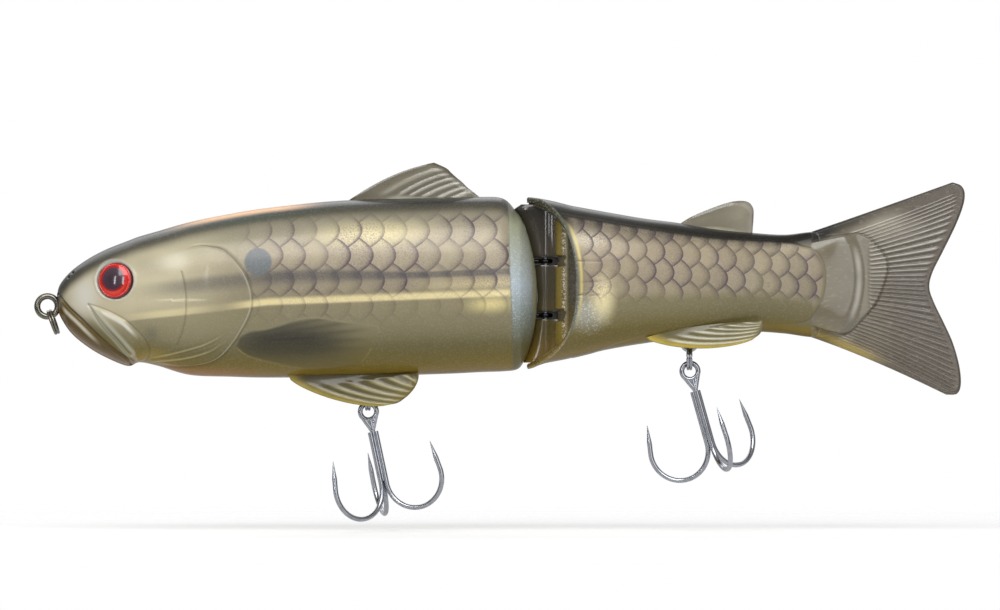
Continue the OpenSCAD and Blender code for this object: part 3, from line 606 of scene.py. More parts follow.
def front_skin():
    """The left half of the front section, with its relief and paint."""
    grid = front_grid()
    x, y, z = grid[..., 0], grid[..., 1], grid[..., 2]
    top, bottom, _, _ = front_section(x)
    below, above = top - z, z - bottom
    gill, fin = depth(GILL, x, z), depth(PECTORAL, x, z)
    jaw, maxilla = depth(JAW, x, z), depth(MAXILLA, x, z)
    mouth, strip = near(MOUTH, x, z), near(MAXILLA_EDGE, x, z)
    eye = np.hypot(x - EYE_X, z - EYE_Z)
    lines = [near(line, x, z) for line in GILL_LINES]
    cheek = near(PREOPERCLE, x, z)
    rear_of_cheek = np.where(z > pz(300), past(x, 186, 214), past(x, 150, 186))
    # The line of the foil's fold along the flank, which bands of painted shade and painted reflection follow
    fold = z - np.interp(x, [px(125), px(270), px(505)], [pz(317), pz(301), pz(292)])
    foil_end = x - mix(px(508), px(513), np.clip((pz(221) - z) / (pz(221) - pz(362)), 0, 1))
    rim = ramp(foil_end, -0.12, 0.12)

    # Relief
    seam = ramp(-y, 0.0, 1.2)
    fan = np.arctan2(z - pz(344), x - px(205))
    rays = np.abs(np.sin(fan * 52))
    lift = 0.5 * ramp(gill, -0.2, 0.5) * rear_of_cheek + 0.2 * bump_at(gill, 0.15, 0.5) * rear_of_cheek
    lift = lift - 0.25 * bump_at(gill, -0.55, 0.5) * rear_of_cheek
    lift = lift - 0.26 * bump_at(cheek, 0, 0.5)
    fading = 1 - past(x, 205, 236)
    for line in lines:
        lift = lift + (0.16 * bump_at(line, 0, 0.45) - 0.1 * bump_at(line, 0.6, 0.4)) * fading
    lift = lift - 0.6 * bump_at(mouth, 0, 0.75) - 0.35 * ramp(jaw, 0, 1.2)
    lift = lift + 0.6 * ramp(maxilla, -0.15, 0.9) - 0.3 * bump_at(strip, 0, 0.6)
    lift = lift + 0.2 * ramp(fin, -0.4, 0.8) * (1 - past(x, 345, 380))
    lift = lift - 0.07 * ramp(fin, 0.6, 1.4) * (1 - rays)
    lift = lift + 0.2 * bump_at(eye, 5.6, 0.6) - 1.6 * (1 - ramp(eye, 4.8, 5.1))
    for nostril in photo((69.5, 277), (73.5, 272.5)):
        lift = lift - 0.6 * bump_at(np.hypot(x - nostril[0], z - nostril[1]), 0, 0.5)
    grid = grid + normals(grid) * (lift * seam)[..., None]

    # Tint
    share = above / (top - bottom)
    tint = shades(share, (0, 110, 96, 46), (0.06, 116, 102, 50), (0.17, 108, 100, 62), (0.31, 130, 123, 98),
                  (0.42, 146, 137, 110), (0.6, 152, 143, 120), (0.72, 162, 152, 130), (0.84, 154, 148, 126),
                  (1, 140, 136, 116))
    head = 1 - past(x, 150, 260)
    tint = paint(tint, (208, 198, 166), head * 0.85 * ramp(share, 0.2, 0.5))
    tint = paint(tint, (224, 222, 212), blot(x, z, 86, 296, 6.0, 1, 0.7) * 0.8)
    tint = paint(tint, (110, 104, 88), blot(x, z, 150, 266, 4.5, 0.5) * 0.35)
    # Painted highlight: a glint on the gill cover behind the eye
    tint = paint(tint, (226, 222, 200), blot(x, z, 176, 262, 4.5, 0.7) * 0.45)
    on_foil = past(x, 112, 140) * (1 - rim)
    aft = past(x, 300, 430)
    # Painted shade: a dark grey band above the fold, for the folded foil facet's dark reflection
    dark = ramp(fold, mix(3.2, 4.3, aft), mix(6.4, 5.1, aft))
    dark = dark * (1 - ramp(fold, mix(7.2, 6.2, aft), mix(9.4, 6.8, aft)))
    shadow = mix(srgb(104, 104, 102), srgb(82, 76, 76), 0.5)
    tint = paint(tint, shadow, on_foil * dark * 0.95 * mix(past(x, 120, 200), 1, aft)
                 * mix(0.6, 1, past(x, 236, 290)))
    # Painted reflection: a cream band on the foil's facet just above the fold, aft
    tint = paint(tint, (222, 206, 156), on_foil * bump_at(fold, 2.6, 2.3) * past(x, 395, 480) * 0.75)
    patch = bump_at(np.hypot((x - px(490)) * 0.36, fold + 3.2), 0, 4.2)
    tint = paint(tint, (246, 230, 160), on_foil * patch * 0.85)
    tint = paint(tint, (236, 224, 170), on_foil
                 * bump_at(np.hypot((x - px(372)) * 0.25, fold - 17.5), 0, 5.5) * 0.8)
    under = 1 - ramp(fold, -1.5, -1.1)
    tint = paint(tint, (146, 138, 106), on_foil * under * ramp(fold, -16, -4) * 0.7 * (1 - patch))
    # Painted reflection: a bright line along the foil's fold
    tint = paint(tint, (248, 232, 176), on_foil * ramp(fold, -1.5, -0.8) * (1 - ramp(fold, 0.0, 1.3))
                 * mix(0.5 * bump_at(x, px(170), 20), 0.95, past(x, 215, 265)))
    tint = paint(tint, (106, 102, 84), blot(x, z, 153, 334, 3.2, 1, 0.9) * 0.6)
    spot = np.hypot(x - px(259.7), z - pz(262))
    tint = paint(tint, (112, 118, 122), (1 - ramp(spot, 3.5, 4.1)) * 0.92)
    leaf = shades(z, (pz(368), 104, 94, 54), (pz(352), 70, 66, 46), (pz(338), 50, 49, 42),
                  (pz(319), 84, 81, 68))
    body_fin = ramp(fin, -0.1, 0.9)
    murk = 1 - ramp(np.hypot((x - px(288)) * 0.5, z - pz(346) - 0.02 * (x - px(288))), 2.5, 12.5)
    leaf_end = 1 - past(x, 330, 378)
    tint = paint(tint, leaf, body_fin * leaf_end * mix(0.2, 0.95, murk))
    tint = paint(tint, (72, 68, 54), body_fin * rays**3 * 0.4 * ramp(z, pz(356), pz(340))
                 * (1 - past(x, 345, 380)))
    tint = paint(tint, (158, 140, 70), bump_at(fin, 0.1, 0.3) * (1 - ramp(z, pz(352), pz(345))) * 0.7)
    # Painted highlight along the upper edge of the pectoral fin
    tint = paint(tint, (152, 150, 132), bump_at(fin, 0.2, 0.35) * ramp(z, pz(338), pz(330)) * 0.2)
    # Belly, back and jaw
    belly = shades(above, (0, 108, 82, 12), (1.2, 128, 106, 24), (3.5, 120, 104, 38), (8, 110, 101, 58))
    tint = paint(tint, belly, (1 - ramp(above, 2.0, 9.0)) * (1 - 0.7 * body_fin))
    tint = paint(tint, (160, 104, 46), (1 - ramp(above, 0.6, 3.4)) * bump_at(x, px(205), 24) * 0.6)
    tint = paint(tint, (160, 140, 66), blot(x, z, 155, 357, 3.2, 0.35) * 0.75)
    jaw_tint = shades(above, (0, 116, 88, 32), (2.5, 92, 72, 26), (6, 112, 92, 46))
    tint = paint(tint, jaw_tint, ramp(jaw, -0.1, 0.5))
    # Painted highlights: a stripe along the jaw's upper edge and a band beside the maxilla's groove
    tint = paint(tint, (214, 206, 184), bump_at(mouth, 1.6, 0.9) * ramp(jaw, 0.2, 0.8) * past(x, 60, 66)
                 * (1 - past(x, 84, 104)))
    tint = paint(tint, (206, 208, 188), bump_at(strip, 0.9, 1.0) * (1 - ramp(jaw, -0.6, 0.0))
                 * past(x, 86, 96) * 0.5)
    tint = paint(tint, (84, 70, 44), (1 - ramp(mouth, 0.12, 0.42)) * 0.85)
    back = shades(below, (0, 34, 33, 26), (1.6, 44, 42, 34), (3.0, 88, 84, 68), (5.5, 150, 143, 122))
    tint = paint(tint, back, 1 - ramp(below, 2.8, 6.5))
    tint = paint(tint, (255, 190, 120), (1 - ramp(below, 0.4, 1.8)) * ramp(24 - np.abs(x - px(245)), 0, 16)
                 * 0.9)
    tint = paint(tint, (74, 92, 78), bump_at(below, 2.6, 1.5) * bump_at(x, px(255), 30) * 0.5)
    # Gill cover, cheek, gill lines and maxilla: painted highlights on raised edges, painted shade beside
    # them
    tint = paint(tint, (238, 232, 206), bump_at(gill, 0.0, 0.3) * rear_of_cheek * 0.6)
    tint = paint(tint, (92, 86, 70), bump_at(gill, -0.5, 0.35) * rear_of_cheek * 0.55)
    tint = paint(tint, (104, 96, 76), bump_at(cheek, 0, 0.35) * 0.5)
    ends = past(x, 146, 170) * (1 - past(x, 205, 232))
    for line in lines:
        tint = paint(tint, (208, 196, 138), bump_at(line, 0, 0.3) * ends * 0.5)
        tint = paint(tint, (92, 86, 60), bump_at(line, 0.5, 0.3) * ends * 0.4)
    tint = paint(tint, (80, 72, 54), bump_at(maxilla, -0.1, 0.3) * 0.5)
    glint = bump_at(maxilla, 1.1, 0.8) * past(x, 92, 100) * (1 - past(x, 128, 142)) * ramp(strip, 1.2, 2.2)
    tint = paint(tint, (238, 236, 224), glint * 0.85)
    tint = paint(tint, (206, 207, 200), bump_at(eye, 5.3, 0.9) * 0.55)
    # Dome behind the foil
    pearl = shades(z, (pz(376), 104, 92, 36), (pz(345), 98, 94, 60), (pz(320), 134, 144, 136),
                   (pz(285), 194, 208, 218), (pz(255), 186, 194, 184), (pz(225), 176, 178, 148),
                   (pz(205), 70, 70, 50), (pz(197), 40, 38, 28))
    tint = paint(tint, pearl, rim * 0.95)
    tint = paint(tint, (168, 164, 98), ramp(foil_end, 5.4, 6.6) * 0.7)
    tint = paint(tint, (96, 98, 84), bump_at(foil_end, 0.12, 0.28) * 0.5)

    scales = on_foil * (1 - 0.6 * dark) * past(x, 232, 262) * mix(0.5, 1, past(x, 262, 330))
    scales = scales * ramp(-gill, 0.3, 1.0) * ramp(fold, -9, -1) * (0.35 + 0.65 * ramp(fold, 0.5, 3))
    scales = scales * (1 - ramp(fold, 19, 24)) * (1 - body_fin)
    scales = scales * (1 - ramp(3.9 - spot, 0, 0.5)) * ramp(below, 1.5, 4.0)
    flake = 0.05 * on_foil * (1 - body_fin) + 0.7 * rim * bump_at(z, pz(280), 22) + 0.02
    metal = 0.12 + 0.16 * on_foil * past(x, 200, 270) * (1 - body_fin)
    metal = metal * ramp(below, 1, 4) * ramp(above, 1, 6) * (1 - ramp(jaw, -0.2, 0.3))
    parts = Surface()
    parts.add(capped(grid), tint=carried(tint), foil=carried(scales), flake=carried(flake),
              metal=carried(metal))
    return parts


front = front_skin()
for side, flip in (("left", False), ("right", True)):
    shell = front.make(f"front_skin_{side}", "front", [skin], mirrored=flip)
    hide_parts(f"front_shell_{side}")


# ---------------------------------------------------------------- rear section
def rim_x(y):
    """The plan curve of the cup's rim."""
    return HINGE_X + mix(-LIP_REACH, RIM_BACK, (np.abs(y) / (HALF_W - 2)) ** RIM_BOW)


def flank(x, z, above, below):
    """Paint of the rear section and of the tail's root, above the lower and below the upper edge."""
    share = above / (above + below)
    plate = depth(REAR_FOIL, x, z)
    tint = shades(share, (0, 118, 98, 34), (0.14, 116, 104, 54), (0.3, 138, 130, 98), (0.5, 138, 126, 98),
                  (0.68, 146, 133, 106), (0.84, 150, 138, 112), (1, 120, 110, 88))
    # Painted highlights: light patches on the flank near the cup
    tint = paint(tint, (196, 196, 186), blot(x, z, 585, 312, 7, 0.8) * 0.6)
    tint = paint(tint, (255, 240, 186), blot(x, z, 602, 297, 5.5, 1.1, 0.6) * 0.95)
    tint = paint(tint, (236, 226, 200), blot(x, z, 590, 236, 5, 0.5) * 0.7)
    tint = paint(tint, (116, 108, 82), past(x, 660, 780) * 0.55)
    end = 1 - ramp(plate, -0.25, 0.15)
    tint = paint(tint, (122, 114, 92), end * past(x, 770, 800))
    tint = paint(tint, (84, 78, 64), bump_at(plate, -0.15, 0.3) * past(x, 780, 800) * 0.6)
    back = shades(below, (0, 22, 21, 16), (2.0, 27, 25, 19), (4.0, 52, 48, 38), (7, 140, 130, 107))
    thick = mix(1.2, 0.6, past(x, 610, 760))
    tint = paint(tint, back, 1 - ramp(below, 3.2 * thick, 7.6 * thick))
    belly = shades(above, (0, 106, 86, 24), (1.5, 128, 108, 38), (4, 112, 102, 54))
    tint = paint(tint, belly, 1 - ramp(above, 1.2, 5.5))
    return tint


def dome_from_pin(levels):
    """Distance from the pin to the dome's profile on the seam, at each level."""
    x = np.linspace(NOSE_X + 0.9 * FRONT_LEN, NOSE_X + FRONT_LEN, 400)
    top, bottom, _, _ = front_section(x)
    return np.array([HINGE_X - x[(bottom <= level) & (level <= top)].max() for level in levels])


def rear_skin():
    """The left half of the rear section, with its cup, the web at the pin and painted shade in the slots."""
    turns, rings = 190, 300
    angle = np.radians(np.linspace(90, -90, turns + 1))
    start = np.full(turns + 1, HINGE_X)
    for _ in range(12):
        y, _ = on_section(rear_section(start), angle)
        start = rim_x(y)
    edge_round = 0.5
    x = mix(start[None, :] + edge_round, TAIL_X, np.linspace(0, 1, rings)[:, None])
    y, z = on_section(rear_section(x), angle[None, :])
    grid = np.stack([x, y, z], axis=-1)
    top, bottom, _, _ = rear_section(x)
    below, above = top - z, z - bottom
    from_rim = x - start[None, :]
    plate = depth(REAR_FOIL, x, z)
    seam = ramp(-y, 0.0, 1.2)
    scribes = sum(
        (1 - ramp(np.abs(z - pz(v)), 0.05, 0.22)) * past(x, 572, 576) * (1 - past(x, 594, 606))
        for v in (261.5, 281.5, 295)
    )
    lift = -0.12 * scribes + 0.12 * ramp(plate, -0.3, 0.3)
    grid = grid + normals(grid) * (lift * seam)[..., None]

    tint = flank(x, z, above, below)
    share = above / (top - bottom)
    tint = paint(tint, (100, 104, 98), (1 - ramp(from_rim, 0.5, 1.1)) * 0.8)
    tint = paint(tint, (214, 198, 124), bump_at(from_rim, 1.5, 0.7) * ramp(z, pz(330), pz(300))
                 * (1 - ramp(z, pz(232), pz(222))) * 0.8)
    tint = paint(tint, (74, 62, 60), np.clip(scribes, 0, 1) * 0.7)

    scales = ramp(plate, 0.2, 1.2) * ramp(share, 0.3, 0.46) * (1 - ramp(share, 0.9, 0.97))
    scales = scales * ramp(from_rim, 1.5, 4)
    flake = 0.05 * ramp(plate, 0, 1) + blot(x, z, 588, 312, 8) * 0.8 + 0.02
    metal = (0.12 + 0.16 * ramp(plate, 0, 1)) * ramp(below, 1, 5) * ramp(above, 0.5, 4)
    parts = Surface()
    parts.add(grid, 0, tint=tint, foil=scales, flake=flake, metal=metal)

    # Rim of the cup: a rounded lip, a ledge and a second thin ridge
    edge = np.stack([start, *on_section(rear_section(start), angle)], axis=-1)
    middle = np.stack([start, np.zeros_like(start), rear_section(start)[3]], axis=-1)
    inward = middle - edge
    inward /= np.linalg.norm(inward, axis=1, keepdims=True)
    profile = [(0.0, 0.5), (0.12, 0.22), (0.4, 0.05), (0.85, 0.0), (1.3, 0.1), (1.55, 0.4), (1.6, 0.95),
               (1.95, 1.05), (2.15, 0.85), (2.45, 0.8), (2.6, 1.1), (2.65, 1.5)]
    lip = np.stack([edge + inward * d + np.array([b, 0, 0]) for d, b in profile])
    # The inner ridge stands forward at the top
    lip[5:, :, 0] -= 0.5 * ramp(lip[5:, :, 2], 19, 27)
    steps = np.array([p[0] for p in profile])[:, None] + 0 * start[None, :]
    lip_tint = shades(steps, (0, 120, 122, 108), (0.4, 112, 112, 96), (1.3, 90, 89, 78), (1.6, 40, 36, 30),
                      (2.2, 124, 114, 90), (2.65, 60, 50, 36))
    low = 1 - ramp(lip[..., 2], pz(345), pz(320))
    lip_tint = paint(lip_tint, (150, 124, 48), low * 0.75)
    high = ramp(lip[..., 2], pz(235), pz(205))
    lip_tint = paint(lip_tint, (50, 47, 34), high * 0.7)
    parts.add(lip, 1, tint=lip_tint, flake=0.2 + 0 * steps, metal=0.2 + 0 * steps)

    # Face of the cup, from the lip to the web at the pin
    inner = lip[-1]
    c = np.linspace(0, 1, CUP_FRONT_COLUMNS)[:, None]
    reach = np.minimum(np.abs(inner[:, 1]), 2.9)
    face_y = mix(inner[None, :, 1], -reach[None, :], c)
    face_z = mix(inner[None, :, 2], np.clip(inner[None, :, 2], -13.5, 25.8), c**0.7)
    face_x = inner[None, :, 0] + (CUP_X - inner[None, :, 0]) * (1 - (1 - c) ** 1.7)
    face_x = face_x + 0.35 * ramp(face_x, px(563.0), px(564.2)) * (face_x > CUP_X + 0.5)
    in_slot = sum((np.abs(face_z - v) < SLOT_H / 2)
                  for v in (EYE_UP_Z, EYE_LOW_Z)) * (face_x < px(563.5)) * (face_x > HINGE_X)
    face_x = face_x + 0.9 * in_slot
    gold = bump_at(face_x, px(558.5), 1.7)
    face_tint = shades(face_z, (pz(362), 120, 94, 30), (pz(335), 112, 92, 38), (pz(300), 70, 60, 40),
                       (pz(250), 62, 53, 40), (pz(205), 42, 37, 28))
    face_tint = paint(face_tint, (196, 170, 84), gold * (1 - in_slot) * 0.85)
    face_tint = paint(face_tint, (98, 88, 70), in_slot * 0.9)
    face_tint = paint(face_tint, (176, 162, 128), bump_at(face_x, px(565.5), 0.9) * (1 - in_slot) * 0.6)
    parts.add(
        np.stack([face_x, face_y, face_z], axis=-1), 1, tint=face_tint,
        flake=bump_at(face_x, px(563.5), 0.9) * (1 - in_slot) + 0.05, metal=0.5 * gold * (1 - in_slot),
    )

    # Web round the pin, in three lengths between the slots of the eyes
    arc = np.radians(np.linspace(180, 270, 12))
    plan = np.vstack([WEB_R * np.stack([np.cos(arc), np.sin(arc)], axis=1),
                      [[1.2, -2.2], [2.5, -2.95], [3.4, -3.0]]])
    ends = [WEB_FOOT, EYE_LOW_Z - WEB_FREE, EYE_LOW_Z + WEB_FREE, EYE_UP_Z - WEB_FREE, EYE_UP_Z + WEB_FREE,
            WEB_HEAD]
    for low_z, high_z in zip(ends[::2], ends[1::2]):
        levels = np.array([low_z, low_z, *np.linspace(low_z + 0.15, high_z - 0.15, 26), high_z, high_z])
        shrink = np.array([0.0, 0.92, *[1.0] * 26, 0.92, 0.0])
        # The web's front follows the dome, whose distance from the pin grows away from its middle
        reach = np.maximum(dome_from_pin(levels) - 0.02, WEB_R) / WEB_R
        reach = reach * (1 - 0.3 * ramp(levels, WEB_HEAD - 2, WEB_HEAD) ** 2)
        web = np.stack([
            np.stack([HINGE_X + plan[:, 0] * np.where(plan[:, 0] < 0, r, v > -14.8), plan[:, 1] * k,
                      np.full(len(plan), v)], axis=1)
            for v, k, r in zip(levels, shrink, reach)
        ])
        web_tint = shades(web[..., 2], (-15, 128, 102, 36), (-8, 92, 78, 36), (4, 66, 58, 42),
                          (16, 60, 52, 42), (26, 40, 36, 28))
        in_slot = sum(np.abs(web[..., 2] - v) < SLOT_H / 2 for v in (EYE_UP_Z, EYE_LOW_Z))
        # Painted shade: the web darker within the eyes' slots
        web_tint = paint(web_tint, (44, 40, 34), in_slot * 0.8)
        parts.add(web, 1, tint=web_tint)

    # Painted shade: a dark sheet across the middle of each eye's slot, from the dome to the cup's face
    for level in (EYE_UP_Z, EYE_LOW_Z):
        rows = level + np.linspace(-0.55, 0.55, 6) * SLOT_H
        across = mix(0.05 - dome_from_pin(rows)[:, None], 5.5, np.linspace(0, 1, 20)[None, :])
        slot_shade_sheet = np.stack([HINGE_X + across, 0 * across - 0.05, rows[:, None] + 0 * across], axis=-1)
        parts.add(slot_shade_sheet, 1, tint=plain((84, 76, 60), slot_shade_sheet))
    return parts


rear = rear_skin()
for side, flip in (("left", False), ("right", True)):
    shell = rear.make(f"rear_skin_{side}", "rear", [skin, smoke], mirrored=flip)
    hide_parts(f"rear_shell_{side}")


# ---------------------------------------------------------------- fins
def fin(name, body, material, root, edge, place, half, rays, ridge, tones, bulge=(0.0, 1.0), both=False,
        root_solid=0.0):
    """A thin fin between a root line and an edge line of [x, z], with rays that fan across it.

    place gives the y of its middle surface by share from root to edge, and half its half thickness.
    """
    columns, steps = max(8 * rays, 60), 30
    i = np.linspace(0, 1, columns + 1)[:, None]
    s = np.linspace(0, 1, steps + 1)[None, :]
    r = spline(root, i[:, 0] * (len(root) - 1))
    e = spline(edge, i[:, 0] * (len(edge) - 1))
    flat = mix(r[:, None, :], e[:, None, :], s[..., None])
    flat[..., 1] += bulge[0] * (1 - i) ** 1.2 * np.clip(np.sin(np.pi * s), 0, 1) ** bulge[1]
    ray = np.abs(np.cos(np.pi * rays * i)) ** 4 * ramp(s, 0.04, 0.22) * (1 - ramp(s, 0.9, 0.98))
    ray = ray * ramp(i, 0.4 / rays, 0.8 / rays)
    border = np.minimum(np.minimum(s, 1 - s) * 4, np.minimum(i, 1 - i) * 14 + 0.25)
    thick = mix(half, half * 0.55, s) * np.clip(border + 0.35, 0.35, 1)
    thick = thick + ridge * ray * ramp(border, 0.2, 0.8)
    y = place(s) + 0 * i
    front_face = np.stack([flat[..., 0], y - thick, flat[..., 1]], axis=-1)
    back_face = np.stack([flat[..., 0], y + thick, flat[..., 1]], axis=-1)
    tint = tones(i + 0 * s, s + 0 * i, ray)
    rim_dark = 1 - ramp(np.minimum((1 - s) * 12, np.minimum(i, 1 - i) * 30), 0.0, 1.0)
    tint = paint(tint, (48, 44, 32), rim_dark * 0.55)
    solid = np.maximum(rim_dark, root_solid * (1 - ramp(s, 0.15, 0.5)) + 0 * i)
    near_side, far_side, band = shell_of(front_face, back_face)
    parts = Surface()
    parts.add(near_side, tint=tint, solid=solid)
    parts.add(far_side, tint=tint[:, ::-1], solid=solid[:, ::-1])
    parts.add(band, tint=plain((88, 80, 58), band), solid=np.ones(band.shape[:2]))
    made = parts.make(name, body, [material], both=both)


def back_root(points, section_at, sink):
    """A root line along the back, sunk into it."""
    x = np.array([px(p) for p in points])
    return np.stack([x, section_at(x)[0] - sink], axis=1)


def dorsal_tones(i, s, ray):
    tint = shades(i, (0, 104, 96, 72), (0.12, 124, 115, 88), (0.5, 132, 124, 98), (1, 156, 150, 128))
    tint = paint(tint, (70, 64, 46), (1 - ray) * ramp(i, 0.1, 0.3) * 0.5)
    # Painted highlights along the raised rays
    tint = paint(tint, (222, 218, 196), ray**2 * mix(0.35, 0.9, i))
    # Painted highlight: a light line along the fin's base
    return paint(tint, (224, 220, 200), (1 - ramp(s, 0.08, 0.2)) * ramp(i, 0.15, 0.3) * 0.8)


def adipose_tones(i, s, ray):
    # Painted highlight: a light band along the fin's base
    tint = shades(s, (0, 206, 198, 168), (0.12, 206, 198, 168), (0.2, 128, 120, 94), (0.6, 134, 126, 100),
                  (1, 110, 102, 80))
    return paint(tint, (178, 170, 144), bump_at(i + 0.3 * s, 0.85, 0.3) * 0.4)


def pelvic_tones(i, s, ray):
    low = 1 - ramp(i, 0.02, 0.2)
    tint = shades(s, (0, 76, 68, 38), (0.3, 100, 92, 56), (0.7, 122, 112, 70), (1, 146, 130, 70))
    tint = paint(tint, (184, 164, 74), low * 0.8)
    tint = paint(tint, (76, 68, 38), (1 - ray) * (1 - low) * 0.35)
    # Painted highlights along the raised rays
    return paint(tint, (216, 206, 156), ray**2 * 0.6 * ramp(s, 0.1, 0.35))


def anal_tones(i, s, ray):
    low = 1 - ramp(i, 0.03, 0.25)
    tint = shades(s, (0, 112, 104, 66), (0.5, 140, 132, 90), (1, 164, 154, 104))
    tint = paint(tint, (206, 182, 76), low * 0.85)
    tint = paint(tint, (84, 76, 50), (1 - ray) * (1 - low) * 0.35)
    # Painted highlights along the raised rays
    return paint(tint, (238, 234, 212), ray**2 * 0.8)


fin("dorsal_fin", "front", dorsal_clear,
    back_root([344, 372, 390, 402, 416, 434, 450, 479], front_section, 0.9),
    photo((434, 162.6), (446, 168), (451.5, 173), (456.5, 177.5), (462, 182), (467, 187), (472, 191),
          (479.5, 197)),
    lambda s: 0 * s, 0.6, 7, 0.2, dorsal_tones, bulge=(1.7, 0.9))
fin("adipose_fin", "rear", dorsal_clear,
    back_root([681, 700, 718, 735, 752], rear_section, 0.9),
    photo((681, 223), (690, 217.5), (701.8, 212), (723, 204), (737.5, 200.9), (748, 202), (753, 208),
          (753.6, 216), (752.5, 232)),
    lambda s: 0 * s, 0.62, 3, 0.0, adipose_tones)
fin("pelvic_fins", "front", belly_clear,
    photo((288, 374.5), (299, 374.5), (316, 374.5), (338, 374.5), (361, 373.5), (383, 372.5), (402, 371.5),
          (418.5, 370.5)),
    photo((391, 401), (400, 400), (405.5, 397.5), (409.5, 394), (413, 390), (415.5, 386), (417.5, 381.5),
          (418.6, 377)),
    lambda s: -5.3 - 1.6 * s, 0.62, 7, 0.2, pelvic_tones, bulge=(-3.6, 0.45), both=True, root_solid=1.0)
fin("anal_fins", "rear", belly_clear,
    photo((646, 337.5), (655, 334.5), (668, 331.3), (685, 327.8), (703, 325.3), (722, 323.3), (741, 321.8),
          (760, 320.5)),
    photo((755, 337), (758.5, 334.5), (760.5, 331.5), (761.3, 328.5), (761.6, 326), (761.6, 324),
          (761.5, 322.4), (761.3, 321)),
    lambda s: -7.25 - 0.9 * s, 0.55, 7, 0.18, anal_tones, bulge=(-3.1, 0.6), both=True, root_solid=0.6)


